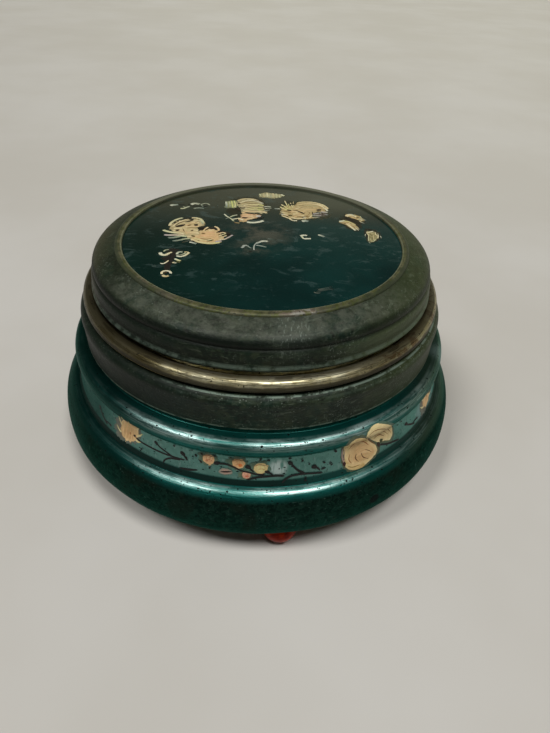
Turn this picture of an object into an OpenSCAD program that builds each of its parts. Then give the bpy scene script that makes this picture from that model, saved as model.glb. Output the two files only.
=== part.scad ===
// Round musical powder box with a lift-off mirror lid and a lift-out powder bowl.
// A wind-up comb movement stands on the base plate and plays while the lid is off.
// The origin is the middle of the box on the table, +Z is up and the front is -Y.
// Radii grow outward from the mouth, and heights grow upward from the table.

/* [Case] */
// Inside radius of the mouth, within the brass collar
mouth_r = 51.6; // [50.5:0.1:56]
// Height of the case's lower edge above the table
edge_h = 9.2; // [8.8:0.1:12]
// Height of the base bulge
bulge_h = 16.2; // [15:0.1:20]
// How far the bulge stands out from the foot of the painted band
bulge_step = 5.6; // [4:0.1:8]
// Squareness of the bulge, where 2 is an ellipse
bulge_power = 2.4; // [2:0.1:3]
// Height of the painted band
band_h = 10.2; // [9:0.1:16]
// How far the painted band flares from its top to its foot
band_flare = 2.7; // [1:0.1:4]
// Height of the round bead above the painted band
bead_h = 5.4; // [5:0.1:7]
// How far the bead stands out beyond the upper tier
bead_step = 3.9; // [3.5:0.1:6]
// How far the bead stands out beyond the top of the painted band
bead_over = 1.9; // [1.5:0.1:2.4]
// Height of the groove between the bead and the upper tier
groove_h = 2.1; // [1:0.1:4]
// Height of the upper tier
tier_h = 10.9; // [9:0.1:16]
// How far the upper tier stands out beyond the brass roll
tier_step = 1.6; // [1:0.1:3]
// Rounding at the top of the upper tier
tier_round = 2.6; // [2:0.1:3.2]
// Wall of the two spun shells
shell_wall = 0.9; // [0.7:0.1:1.2]
// Width of the flange turned in at the bottom of the lower shell
flange_w = 8.9; // [8.5:0.1:9.2]

/* [Collar and lid] */
// Wall of the brass collar's upstand
collar_wall = 0.8; // [0.7:0.1:1.2]
// Height of the upstand above the deck
upstand_h = 10.1; // [9:0.1:14]
// Radius of the brass roll round the foot of the lid
roll_r = 2.2; // [2:0.1:2.8]
// Free play between the upstand and the lid's skirt
lid_play = 0.5; // [0.3:0.1:0.8]
// Wall of the lid
lid_wall = 0.85; // [0.8:0.05:1]
// Height of the lid's skirt below its inner ledge
skirt_h = 5.9; // [5:0.1:6.2]
// Height of the lid's shoulder above the skirt's inner ledge
shoulder_h = 5.5; // [5:0.1:8]
// Width of the lid's shoulder outside its top plate
shoulder_w = 8.65; // [7.5:0.05:10]
// Thickness of the lid's top plate
plate_t = 1.2; // [0.8:0.1:1.5]
// Width of the gilt ring round the top plate
ring_w = 2.2; // [1.8:0.1:2.6]
// Height of the gilt ring
ring_h = 0.8; // [0.4:0.1:1.2]
// How far the mirror's edge lies inside the edge of the top plate
mirror_in = 1.4; // [1.2:0.1:4]
// Thickness of the mirror
mirror_t = 1.6; // [1:0.1:1.8]
// Thickness of the card between the mirror and the lid
card_t = 0.6; // [0.4:0.1:0.8]

/* [Bowl and pan] */
// Wall of the powder pan
pan_wall = 0.8; // [0.6:0.1:1.2]
// Wall of the powder bowl
bowl_wall = 1.6; // [1:0.1:2.5]
// Width of the bowl's rim where it rests on the deck
bowl_rim = 2.8; // [2:0.1:3.5]
// Play between the bowl and the pan
bowl_play = 0.5; // [0.3:0.1:1]

/* [Base and feet] */
// Thickness of the base plate
base_t = 1.2; // [0.8:0.1:1.6]
// Radius of a ball foot
foot_r = 5.5; // [5.2:0.1:6.2]
// Depth of the flat worn on the bottom of a foot
foot_flat = 0.2; // [0.1:0.1:0.5]
// Direction of the first foot, in degrees from the front
foot_turn = 7; // [0:1:20]
// Radius of the feet's studs
stud_r = 1.5; // [1:0.1:1.7]
// Radius of the screws in the base
screw_r = 1.2; // [0.9:0.1:1.4]

/* [Movement] */
// Place of the mainspring's axis from left to right
spring_x = -20; // [-22:0.5:-18]
// Place of the mainspring's axis from front to back
spring_y = 0; // [-2:0.5:2]
// Thickness of the bedplate
bed_t = 2; // [1.5:0.1:2.4]
// Radius of the mainspring's housing
housing_r = 13; // [12.4:0.1:13.2]
// Height of the mainspring's housing
housing_h = 6; // [5:0.1:6.4]
// Turns of the mainspring
spring_turns = 6; // [4:1:8]
// Pitch radius of the crown wheel
crown_r = 12; // [11.8:0.1:12.2]
// Radius of the winding arbor
arbor_r = 1.6; // [1.3:0.1:1.8]
// Radius of the tune cylinder
drum_r = 6; // [5:0.1:6.2]
// Length of the tune cylinder
drum_l = 19; // [17.5:0.1:19]
// Notes on the comb
notes = 18; // [12:1:18]
// Length of a pin on the tune cylinder
pin_l = 0.6; // [0.4:0.1:0.8]
// Radius of the rotating shafts
shaft_r = 1; // [0.8:0.05:1.1]
// Radius of the fly
fly_r = 4.5; // [3.5:0.1:4.6]
// Running play of a shaft in its bearing
bearing_play = 0.05; // [0.03:0.01:0.08]

/* [Stop work] */
// Radius of the stop rod
rod_r = 0.8; // [0.6:0.1:1]
// Distance of the rod from the wall of the mouth
rod_in = 2.4; // [2.3:0.1:2.8]
// Travel of the rod when the lid comes off
rod_travel = 2.5; // [1.5:0.1:3]
// Wire of the rod's spring
spring_wire = 0.4; // [0.3:0.05:0.5]
// Turns of the rod's spring
rod_turns = 7; // [4:1:8]

/* [Hidden] */

// Gap between parts that move past or rest on each other
seat_gap = 0.3;
// Gap where one flat face lies on another and can be lifted off
rest_gap = 0.1;
// Sides of every turned piece
round_n = 96;

// Heights from the table up
base_lift = 0.6;
base_z = edge_h + base_lift;
inside_z = base_z + base_t;
bulge_top = edge_h + bulge_h;
band_top = bulge_top + band_h;
bead_top = band_top + bead_h;
tier_z = bead_top + groove_h;
tier_top = tier_z + tier_h;
deck_z = tier_top + pan_wall;
upstand_z = deck_z + upstand_h;
ledge_z = upstand_z + seat_gap;
lip_z = ledge_z - skirt_h;
rim_z = ledge_z + shoulder_h;

// Radii from the mouth out
upstand_r = mouth_r + collar_wall;
seat_r = upstand_r - 0.3;
skirt_in_r = upstand_r + lid_play;
skirt_r = skirt_in_r + lid_wall;
roll_out = 1.3;
roll_mid_r = skirt_r + roll_out;
roll_mid_z = tier_top + roll_r;
tier_r = roll_mid_r + roll_r + tier_step;
tier_foot_r = tier_r - 0.4;
neck_gap = 0.15;
neck_r = tier_foot_r - shell_wall - neck_gap;
shoulder_in = 0.7;
shoulder_r = skirt_r - shoulder_in;
plate_r = shoulder_r - shoulder_w;
mirror_r = plate_r - mirror_in;
bead_r = tier_r + bead_step;
band_top_r = bead_r - bead_over;
band_low_r = band_top_r + band_flare;
bulge_r = band_low_r + bulge_step;

// The bottom edge of the case, where the shell is folded up into a flange
bulge_mid = edge_h + 5.6;
edge_in = 3.2;
edge_r = bulge_r - edge_in;
web_r = edge_r - 0.6;
flange_r = web_r - flange_w;
flange_t = shell_wall;

// The feet touch the base plate inside the folded edge
foot_z = foot_r - foot_flat;
foot_reach = sqrt(foot_r ^ 2 - (edge_h - foot_z) ^ 2);
foot_place = web_r - seat_gap - foot_reach;
nut_h = 2;
nut_r = 3;
screw_head_r = 1.9 * screw_r;
screw_head_h = 1.2;

// Heights inside the movement
bed_z = inside_z;
floor_z = bed_z + bed_t;
housing_z = floor_z + housing_h;
great_z = housing_z + 0.4;
great_t = 1;
crown_teeth = 30;
crown_pitch = 2 * PI * crown_r / crown_teeth;
crown_m = crown_pitch / PI;
pinion_teeth = 10;
crown_z = great_z + great_t + 0.95;
axis_z = crown_z + crown_m * pinion_teeth / 2;

// The cylinder's shaft runs along X through the crown wheel's axis
pinion_x = spring_x + crown_r - 1.1;
pinion_w = 2.4;
bracket_t = 1.5;
left_x = spring_x + crown_r + 2.4;
drum_x = left_x + bracket_t + 1;
wheel_m = 0.5;
wheel_teeth = 28;
wheel_gap = 0.5;
wheel_x = drum_x + drum_l + wheel_gap;
wheel_w = 1.6;
right_x = wheel_x + wheel_w + 1;
note_pitch = (drum_l - 1) / notes;

// The governor's first shaft lies below the cylinder's, behind it
first_teeth = 10;
first_gap = wheel_m * (wheel_teeth + first_teeth) / 2;
first_tilt = -30;
first_y = spring_y + first_gap * cos(first_tilt);
first_z = axis_z + first_gap * sin(first_tilt);
fine_m = 0.4;
first_wheel_teeth = 24;
first_wheel_x = right_x + bracket_t + 1;
first_wheel_w = 1;

// The second shaft carries the worm wheel
second_teeth = 8;
second_gap = fine_m * (first_wheel_teeth + second_teeth) / 2;
second_tilt = 20;
second_y = first_y + second_gap * cos(second_tilt);
second_z = first_z + second_gap * sin(second_tilt);
worm_wheel_teeth = 15;
worm_wheel_r = 3.2;
worm_wheel_w = 1.4;
worm_wheel_x = first_wheel_x + 2.7;

// The worm stands upright and has three steep threads
worm_starts = 3;
worm_r = 1.25;
worm_pitch = 2 * PI * worm_wheel_r / worm_wheel_teeth;
worm_lead = worm_starts * worm_pitch;
worm_x = worm_wheel_x + worm_wheel_w / 2;
worm_y = second_y + worm_wheel_r + worm_r;
worm_foot = second_z - 3.3;
worm_len = 6.6;
pivot_r = 0.6;
plate_x = worm_wheel_x + 3.4;

// The brake disc and the fly above the worm wheel
brake_z = second_z + worm_wheel_r + 1.6;
brake_t = 0.6;
brake_r = 4;
fly_z = brake_z + brake_t;
fly_h = 3.2;
cock_z = fly_z + fly_h + 0.4;
cock_t = 1.2;
cock_w = 4;
cock_y = worm_y + fly_r + 0.8;
post_t = 2;
side_w = 2.4;
foot_l = 4;
foot_t = 1.2;
small_screw_r = 1;
small_head_r = 1.9;
small_head_h = 1.2;
movement_top = max(cock_z + cock_t, axis_z + wheel_m * (wheel_teeth / 2 + 1));

// The pan hangs above the movement, and the rod passes between pan and wall
well_z = movement_top + 1;
lever_y = worm_y + 1.5;
rod_place = mouth_r - rod_in;
rod_x = sqrt(rod_place ^ 2 - lever_y ^ 2);
bush_r = 1.5;
bush_rim_r = rod_in - seat_gap;
bowl_rim_r = rod_place - bush_rim_r - 0.4;
well_r = bowl_rim_r - bowl_rim + bowl_play + pan_wall;
bowl_r = well_r - pan_wall - bowl_play;
bowl_z = well_z + pan_wall + 0.3;
bowl_rim_z = deck_z + rest_gap;
well_round = 3;

// The mirror lies under the lid's top plate
plate_z = rim_z - plate_t;
plate_gap = 0.1;
ring_in_r = plate_r - 0.7;
ring_out_r = ring_in_r + ring_w;
plate_ledge_t = 0.8;
plate_ledge_w = 2.4;
shelf_w = 5;
shelf_drop = 1.6;
ledge_in_r = plate_r - plate_ledge_w;
card_z = plate_z - plate_ledge_t - card_t;
mirror_z = card_z - mirror_t;
bezel_t = 0.7;
bezel_z = mirror_z - bezel_t;
bezel_gap = 0.2;
bezel_r = rod_place + rod_r + 0.6;
bezel_lip = 0.7;
bezel_in = 1.4;

// The stop lever rocks on a bracket that stands on the base plate
lever_t = 1.6;
lever_w = 2;
pad_t = 0.9;
pad_r = 1.2;
lever_z = brake_z - seat_gap - pad_t - lever_t / 2;
pad_x = worm_x + brake_r - 0.8;
lever_x = (pad_x + rod_x) / 2;
lever_pin_r = 0.8;
stand_y = lever_y + 2.2;
stand_t = 1.2;
tab_z = bead_top - 2.6;
rod_z = lever_z + lever_t / 2 + seat_gap;
rod_top = bezel_z - seat_gap;
bush_z = deck_z - pan_wall - 2.4;
clip_t = 1.5;
clip_z = bush_z - rod_travel - seat_gap - clip_t;
clip_r = 2;
spring_gap = 0.15;
spring_r = rod_r + spring_wire + 0.5;
key_w = 20;
key_h = 4.6;
key_t = 1.8;

// Points along an arc round c
function arc(c, r, from, to, n) =
    [for (i = [0:n]) c + r * [cos(from + (to - from) * i / n), sin(from + (to - from) * i / n)]];

// Points along a curve from a to c that leaves and arrives towards b
function bend(a, b, c, n) =
    [for (i = [0:n]) let (t = i / n) (1 - t) ^ 2 * a + 2 * t * (1 - t) * b + t ^ 2 * c];

// Points of a quarter of a squared ellipse, from its side up to its top
function bulge(c, a, b, power, n) =
    [for (i = [0:n]) let (t = 90 * i / n)
        c + [a * cos(t) ^ (2 / power), b * sin(t) ^ (2 / power)]];

// The same line moved sideways to its left by a wall
function moved(p, wall) =
    [for (i = [0:len(p) - 1])
        let (d = p[min(i + 1, len(p) - 1)] - p[max(i - 1, 0)])
        p[i] + wall / norm(d) * [-d[1], d[0]]];

function backward(p) = [for (i = [len(p) - 1:-1:0]) p[i]];

// Outline of the lower shell's outside, from the table edge up to the neck's top
bead_mid = [bead_r - bead_h / 2 + 0.3, band_top + bead_h / 2];
lower_line = concat(
    [for (i = [0:7]) let (t = -90 + 90 * i / 8)
        [edge_r + edge_in * cos(t), bulge_mid + (bulge_mid - edge_h) * sin(t)]],
    bulge([band_low_r, bulge_mid], bulge_step, bulge_top - bulge_mid, bulge_power, 16),
    bend([band_low_r - 0.1, bulge_top + 0.2], [band_top_r + band_flare * 0.36, bulge_top + band_h * 0.5],
        [band_top_r, band_top - 0.1], 6),
    [for (i = [0:12]) let (t = -76 + 160 * i / 12)
        bead_mid + [(bead_r - bead_mid[0]) * cos(t), bead_h / 2 * sin(t)]],
    [[neck_r + 0.3, bead_top + 0.1], [neck_r, bead_top + 0.5], [neck_r, tier_z + 4]]
);

// Outline of the upper shell's outside, from its foot up and in to its top flange
upper_line = concat(
    bend([tier_foot_r, tier_z], [tier_foot_r, tier_z + tier_h * 0.5], [tier_r, tier_top - tier_round], 5),
    arc([tier_r - tier_round, tier_top - tier_round], tier_round, 12, 90, 7),
    [[upstand_r - 0.4, tier_top]]
);

// Outline of the lid's outside, from the rim of the top plate down to the lip
lid_line = concat(
    bend([ring_out_r, rim_z], [shoulder_r - 3.6, ledge_z + shoulder_h * 0.84],
        [shoulder_r - 1.7, ledge_z + shoulder_h * 0.66], 7),
    bend([shoulder_r - 1.5, ledge_z + shoulder_h * 0.63], [shoulder_r + 0.15, ledge_z + shoulder_h * 0.4],
        [shoulder_r, ledge_z + shoulder_h * 0.18], 6),
    bend([shoulder_r + 0.02, ledge_z + 0.8], [shoulder_r, ledge_z + 0.1], [skirt_r - 0.25, ledge_z - 0.5], 4),
    bend([skirt_r - 0.15, ledge_z - 0.7], [skirt_r + 0.2, ledge_z - 1.4], [skirt_r, lip_z + skirt_h * 0.5], 4),
    bend([skirt_r - 0.05, lip_z + skirt_h * 0.4], [skirt_r - 0.15, lip_z + 1.8], [skirt_r, lip_z + 1.3], 3),
    bend([skirt_r + 0.2, lip_z + 1.1], [skirt_r + 0.7, lip_z + 0.6], [skirt_r + 0.2, lip_z], 5)
);

// A turned piece from its half outline
module turned(points) {
    rotate_extrude($fn = round_n) polygon(points);
}

// A flat ring
module ring(r_out, r_in, h) {
    difference() {
        cylinder(r = r_out, h = h, $fn = round_n);
        translate([0, 0, -1]) cylinder(r = r_in, h = h + 2, $fn = round_n);
    }
}

// A round rod or hole that lies along X
module lying(r, l) {
    rotate([0, 90, 0]) cylinder(r = r, h = l, $fn = 48);
}

// A cheese-head screw whose head stands on z = 0 with its shank going down
module screw(r, head_r, head_h, l) {
    difference() {
        cylinder(r = head_r, h = head_h, $fn = 48);
        translate([-head_r - 1, -head_r / 8, head_h * 0.6]) cube([2 * head_r + 2, head_r / 4, head_h]);
    }
    translate([0, 0, -l]) cylinder(r = r, h = l + 0.1, $fn = 48);
}

// The same screw from below, with its head hanging under z = 0
module screw_up(r, head_r, head_h, l) {
    mirror([0, 0, 1]) screw(r, head_r, head_h, l);
}

// A wire wound round Z, from z = 0 to the height, as one tube of 8 rings a turn
function coil_point(r, h, turns, t) = [r * cos(360 * turns * t), r * sin(360 * turns * t), h * t];

// Least gap between two turns of the wire, measured on its rings
function coil_gap(r, h, turns, wire) =
    min([for (i = [0:8 * turns - 5], j = [i + 5:8 * turns])
        norm(coil_point(r, h, turns, j / (8 * turns)) - coil_point(r, h, turns, i / (8 * turns)))]) - wire;

module coil(r, h, turns, wire) {
    rings = 8 * turns;
    echo(least_gap = coil_gap(r, h - wire, turns, wire));
    points = [for (i = [0:rings], k = [0:5])
        let (
            a = 360 * turns * i / rings,
            out = [cos(a), sin(a), 0],
            c = coil_point(r, h - wire, turns, i / rings) + [0, 0, wire / 2]
        )
        c + wire / 2 * (cos(60 * k) * out + sin(60 * k) * [0, 0, 1])];
    sides = [for (i = [0:rings - 1], k = [0:5])
        let (a = 6 * i + k, b = 6 * i + (k + 1) % 6)
        each [[a, a + 6, b], [b, a + 6, b + 6]]];
    start = [for (k = [1:4]) [0, k, k + 1]];
    end = [for (k = [1:4]) [6 * rings, 6 * rings + k + 1, 6 * rings + k]];
    polyhedron(points, concat(sides, start, end));
}

// Involute gear outline, with a tooth centred on angle 0
function involute(base, r) = let (a = acos(min(1, base / r))) tan(a) * 180 / PI - a;
function gear_points(teeth, m, thin, tip, root) =
    let (
        pitch = teeth * m / 2,
        base = pitch * cos(20),
        outer = pitch + tip * m,
        inner = pitch - root * m,
        start = max(base, inner),
        half = 90 / teeth * (1 - thin) + involute(base, pitch)
    )
    [for (i = [0:teeth - 1], side = [-1, 1], k = [0:4])
        let (
            step = side < 0 ? k : 4 - k,
            r = step == 0 ? inner : start + (outer - start) * (step - 1) / 3,
            a = 360 * i / teeth + side * (half - involute(base, max(r, base)))
        )
        r * [cos(a), sin(a)]];

// A spur gear whose shaft lies along X, with a tooth pointing at the angle from +Y
module spur(teeth, m, w, bore, angle, thin) {
    rotate([0, 90, 0]) rotate([0, 0, 90 + angle]) difference() {
        linear_extrude(w) polygon(gear_points(teeth, m, thin, 0.8, 1.15));
        translate([0, 0, -1]) cylinder(r = bore, h = w + 2, $fn = 48);
    }
}

// A plate with round corners from a low corner to a high corner
module rounded_plate(x0, y0, x1, y1, r, t) {
    linear_extrude(t) {
        translate([x0 + r, y0]) square([x1 - x0 - 2 * r, y1 - y0]);
        translate([x0, y0 + r]) square([x1 - x0, y1 - y0 - 2 * r]);
        for (x = [x0 + r, x1 - r], y = [y0 + r, y1 - r]) translate([x, y]) circle(r = r, $fn = 48);
    }
}

// Places of the fasteners
foot_angles = [for (i = [0:2]) -90 + foot_turn + 120 * i];
base_screw_angles = [for (i = [0:2]) -30 + foot_turn + 120 * i];
comb_tip_y = spring_y - drum_r - pin_l - seat_gap;
// Reach of the comb's teeth, depth of its bar and place of its screws behind the teeth
tooth_l = 9;
comb_bar = 8.5;
comb_screw_in = 5;
comb_root_y = comb_tip_y - tooth_l;
comb_back_y = comb_root_y - comb_bar;
bed_edge = 1.6;
bed_corner = 4;
bed_x0 = spring_x - housing_r - 2;
bed_x1 = plate_x + bracket_t + foot_l + 0.2;
bed_y0 = comb_back_y - bed_edge;
bed_y1 = cock_y + post_t + foot_l + 1;
// How far the bedplate's screws lie in from its edges, and the one beside the worm cock from the right edge
bed_screw_in = 3;
cock_side_in = 12;
bed_corners = [
    [bed_x0 + bed_screw_in, bed_y0 + bed_screw_in], [bed_x1 - bed_screw_in, bed_y0 + bed_screw_in],
    [bed_x0 + bed_screw_in, bed_y1 - bed_screw_in], [bed_x1 - cock_side_in, bed_y1 - bed_screw_in]
];
comb_screw_x = [drum_x + drum_l * 0.15, drum_x + drum_l * 0.5, drum_x + drum_l * 0.85];
comb_t = 0.8;
comb_z = axis_z - comb_t / 2;
comb_screw_y = comb_root_y - comb_screw_in;
left_screws = [[left_x + bracket_t + 2, spring_y - 2.6], [left_x + bracket_t + 2, spring_y + 2.6]];
right_screws = [[right_x - 2, spring_y - 2], [right_x - 2, first_y]];
plate_screws = [[plate_x + bracket_t + 2, first_y - 2], [plate_x + bracket_t + 2, second_y]];
stop_screw_x = [lever_x + 2, rod_x - 1];
stop_foot_l = 6;
stop_screw_y = stand_y + stand_t + stop_foot_l / 2;
ear_y = housing_r + 2.4;
ear_r = 2.6;

module at_each(places, z) {
    for (p = places) translate([p[0], p[1], z]) children();
}

module at_angles(angles, r, z) {
    for (a = angles) rotate([0, 0, a]) translate([r, 0, z]) children();
}

// Lid
module lid_shell() {
    color("#4b5145") turned(concat(
        lid_line,
        [
            [skirt_in_r, lip_z], [skirt_in_r, ledge_z], [seat_r, ledge_z],
            [bezel_r + bezel_gap, mirror_z + bezel_gap], [plate_r + shelf_w, plate_z - shelf_drop],
            [plate_r + lid_wall, plate_z - 0.2], [plate_r + lid_wall, card_z + card_t],
            [ledge_in_r, card_z + card_t], [ledge_in_r, plate_z],
            [plate_r + plate_gap, plate_z], [plate_r + plate_gap, rim_z]
        ]
    ));
}

module top_plate() {
    color("#12393c") translate([0, 0, plate_z]) cylinder(r = plate_r, h = plate_t, $fn = round_n);
}

module gilt_ring() {
    crest_z = rim_z + ring_h;
    color("#8d8658") turned(concat(
        [[ring_in_r, rim_z]],
        bend([ring_in_r, rim_z + ring_h * 0.5], [ring_in_r, crest_z], [ring_in_r + ring_w * 0.25, crest_z], 4),
        bend([ring_in_r + ring_w * 0.4, crest_z], [ring_out_r, crest_z], [ring_out_r, rim_z], 5)
    ));
}

module mirror_card() {
    color("#a8895e") translate([0, 0, card_z]) cylinder(r = mirror_r, h = card_t, $fn = round_n);
}

module mirror_glass() {
    color("#c9d2d4") translate([0, 0, mirror_z]) cylinder(r = mirror_r - 0.2, h = mirror_t, $fn = round_n);
}

module mirror_bezel() {
    lip_r = mirror_r + 0.1;
    color("#b39a52") turned([
        [mirror_r - bezel_in, bezel_z], [bezel_r, bezel_z], [bezel_r, mirror_z],
        [lip_r + bezel_lip, mirror_z], [lip_r + bezel_lip, card_z + card_t],
        [lip_r, card_z + card_t], [lip_r, mirror_z], [mirror_r - bezel_in, mirror_z]
    ]);
}

// Bowl, pan and collar
function dish(r, z_low, z_high, corner) = concat(
    [[0, z_low]],
    arc([r - corner, z_low + corner], corner, -90, 0, 6),
    [[r, z_high]]
);

module powder_bowl() {
    inner_r = bowl_r - bowl_wall;
    color("#dfe6e2", 0.6) turned(concat(
        dish(bowl_r, bowl_z, bowl_rim_z, well_round - 0.3),
        [[bowl_rim_r, bowl_rim_z], [bowl_rim_r, bowl_rim_z + bowl_wall]],
        backward(dish(inner_r, bowl_z + bowl_wall, bowl_rim_z + bowl_wall, well_round - 0.6))
    ));
}

module powder_pan() {
    color("#b9b7a6") difference() {
        turned(concat(
            dish(well_r, well_z, deck_z - pan_wall, well_round),
            [[upstand_r + 0.8, deck_z - pan_wall], [upstand_r + 0.8, deck_z]],
            backward(dish(well_r - pan_wall, well_z + pan_wall, deck_z, well_round - pan_wall))
        ));
        translate([rod_x, lever_y, deck_z - 5]) cylinder(r = bush_r + bearing_play, h = 10, $fn = 48);
    }
}

module brass_collar() {
    color("#a98f52") turned(concat(
        [[mouth_r, deck_z], [upstand_r + 0.9, deck_z], [upstand_r + 0.9, tier_top]],
        arc([roll_mid_r, roll_mid_z], roll_r, -90, 150, 20),
        [[upstand_r, roll_mid_z + roll_r / 2], [upstand_r, upstand_z], [mouth_r, upstand_z]]
    ));
}

// Case
module upper_shell() {
    inner = backward(moved(upper_line, shell_wall));
    color("#454b42") turned(concat(upper_line, inner));
}

module lower_shell() {
    inner = backward([for (p = moved(lower_line, shell_wall)) if (p[1] > inside_z + flange_t + 0.3) p]);
    foot = [
        [bulge_r - 2, inside_z + flange_t], [flange_r, inside_z + flange_t], [flange_r, inside_z],
        [web_r, inside_z], [web_r, edge_h]
    ];
    color("#12494b") difference() {
        turned(concat(lower_line, inner, foot));
        at_angles(foot_angles, foot_place, inside_z - 1) cylinder(r = nut_r + 0.5, h = 4, $fn = 48);
        at_angles(base_screw_angles, foot_place, inside_z - 1)
            cylinder(r = screw_r + bearing_play, h = 4, $fn = 48);
    }
}

module base_plate() {
    color("#6d706a") difference() {
        translate([0, 0, base_z]) cylinder(r = web_r - 0.2, h = base_t, $fn = round_n);
        at_angles(foot_angles, foot_place, base_z - 1)
            cylinder(r = stud_r + bearing_play, h = base_t + 2, $fn = 48);
        at_angles(base_screw_angles, foot_place, base_z - 1)
            cylinder(r = screw_r + bearing_play, h = base_t + 2, $fn = 48);
        at_each(bed_corners, base_z - 1) cylinder(r = screw_r + bearing_play, h = base_t + 2, $fn = 48);
        at_each([for (x = stop_screw_x) [x, stop_screw_y]], base_z - 1)
            cylinder(r = screw_r + bearing_play, h = base_t + 2, $fn = 48);
        translate([spring_x, spring_y, base_z - 1]) cylinder(r = arbor_r + 1.2, h = base_t + 2, $fn = 48);
    }
}

module base_screws() {
    color("#8f8f88") at_angles(base_screw_angles, foot_place, base_z)
        screw_up(screw_r, screw_head_r, screw_head_h, base_t + flange_t + 1);
}

module ball_feet() {
    color("#b8381c") at_angles(foot_angles, foot_place, 0) difference() {
        translate([0, 0, foot_z]) sphere(r = foot_r, $fn = 64);
        translate([-foot_r, -foot_r, -foot_r]) cube([2 * foot_r, 2 * foot_r, foot_r]);
        translate([-foot_r, -foot_r, base_z]) cube([2 * foot_r, 2 * foot_r, foot_r]);
        translate([0, 0, foot_z - 1.5]) cylinder(r = stud_r + bearing_play, h = base_z, $fn = 48);
    }
}

module foot_studs() {
    color("#8f8f88") at_angles(foot_angles, foot_place, foot_z - 1.3)
        cylinder(r = stud_r, h = inside_z + nut_h + 0.6 - foot_z + 1.3, $fn = 48);
}

module foot_nuts() {
    color("#8f8f88") at_angles(foot_angles, foot_place, inside_z) difference() {
        cylinder(r = nut_r, h = nut_h, $fn = 6);
        translate([0, 0, -1]) cylinder(r = stud_r + bearing_play, h = nut_h + 2, $fn = 48);
    }
}

// Movement: bedplate, mainspring and winding
module bedplate() {
    color("#9a9a92") difference() {
        union() {
            translate([0, 0, bed_z]) rounded_plate(bed_x0, bed_y0, bed_x1, bed_y1, bed_corner, bed_t);
            translate([drum_x - 0.5, comb_back_y, floor_z - 0.5])
                cube([drum_l + 1, comb_root_y + 0.4 - comb_back_y, comb_z - floor_z + 0.5]);
        }
        translate([spring_x, spring_y, bed_z - 1])
            cylinder(r = arbor_r + bearing_play, h = bed_t + 2, $fn = 48);
        at_each(bed_corners, bed_z - 1) cylinder(r = screw_r + bearing_play, h = bed_t + 2, $fn = 48);
        at_each([for (x = comb_screw_x) [x, comb_screw_y]], comb_z - 6)
            cylinder(r = small_screw_r + bearing_play, h = 7, $fn = 48);
        at_each(concat(left_screws, right_screws, plate_screws), bed_z - 1)
            cylinder(r = small_screw_r + bearing_play, h = bed_t + 2, $fn = 48);
        at_each([[worm_x, cock_y + post_t + foot_l / 2]], bed_z - 1)
            cylinder(r = small_screw_r + bearing_play, h = bed_t + 2, $fn = 48);
        for (side = [-1, 1]) translate([spring_x, spring_y + side * ear_y, bed_z - 1])
            cylinder(r = small_screw_r + bearing_play, h = bed_t + 2, $fn = 48);
    }
}

module movement_screws() {
    color("#8f8f88") at_each(bed_corners, base_z)
        screw_up(screw_r, screw_head_r, screw_head_h, base_t + bed_t * 0.8);
}

module spring_housing() {
    color("#a98f52") translate([spring_x, spring_y, floor_z]) difference() {
        union() {
            cylinder(r = housing_r, h = housing_h, $fn = round_n);
            for (side = [-1, 1]) {
                translate([0, side * ear_y, 0]) cylinder(r = ear_r, h = 1, $fn = 48);
                translate([-ear_r, side > 0 ? 0 : -ear_y, 0]) cube([2 * ear_r, ear_y, 1]);
            }
        }
        translate([0, 0, -1]) cylinder(r = housing_r - 0.8, h = housing_h + 0.2, $fn = round_n);
        translate([0, 0, -1]) cylinder(r = arbor_r + bearing_play, h = housing_h + 2, $fn = 48);
        for (side = [-1, 1]) translate([0, side * ear_y, -1])
            cylinder(r = small_screw_r + bearing_play, h = 3, $fn = 48);
    }
}

module housing_screws() {
    color("#8f8f88") for (side = [-1, 1]) translate([spring_x, spring_y + side * ear_y, floor_z + 1])
        screw(small_screw_r, small_head_r, small_head_h, 1 + bed_t * 0.8);
}

module mainspring() {
    hub = arbor_r + 1.6;
    out = housing_r - 1.2;
    steps = 16 * spring_turns;
    edge = [for (i = [0:steps]) let (a = 22.5 * i, r = hub + (out - 0.4 - hub) * i / steps) [a, r]];
    color("#5b6068") translate([spring_x, spring_y, floor_z + 0.4]) linear_extrude(housing_h - 1.6)
        polygon(concat(
            [for (p = edge) p[1] * [cos(p[0]), sin(p[0])]],
            backward([for (p = edge) (p[1] + 0.4) * [cos(p[0]), sin(p[0])]])
        ));
}

key_z = base_z - 3.4;
module winding_arbor() {
    color("#8f8f88") translate([spring_x, spring_y, 0]) {
        translate([0, 0, key_z]) cylinder(r = arbor_r, h = axis_z - 0.4 - key_z, $fn = 48);
        translate([0, 0, floor_z + 0.4]) cylinder(r = arbor_r + 1, h = housing_h - 1.6, $fn = 48);
        translate([0, 0, axis_z - 1.2]) cylinder(r = arbor_r + 1.2, h = 0.8, $fn = 48);
    }
}

module winding_key() {
    wing = key_h / 2;
    color("#a98f52") translate([spring_x, spring_y, 0]) difference() {
        union() {
            translate([0, 0, key_z - 0.6])
                cylinder(r = arbor_r + 1.4, h = base_z - 0.4 - key_z + 0.6, $fn = 48);
            translate([0, key_t / 2, key_z - 0.6 - wing]) rotate([90, 0, 0]) linear_extrude(key_t) {
                square([key_w - 2 * wing, 2 * wing], center = true);
                for (side = [-1, 1]) translate([side * (key_w / 2 - wing), 0]) circle(r = wing, $fn = 48);
            }
        }
        translate([0, 0, key_z]) cylinder(r = arbor_r + bearing_play, h = 10, $fn = 48);
        for (side = [-1, 1]) translate([side * (key_w / 2 - wing), 2, key_z - 0.6 - wing])
            rotate([90, 0, 0]) cylinder(r = wing * 0.45, h = 4, $fn = 48);
    }
}

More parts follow.
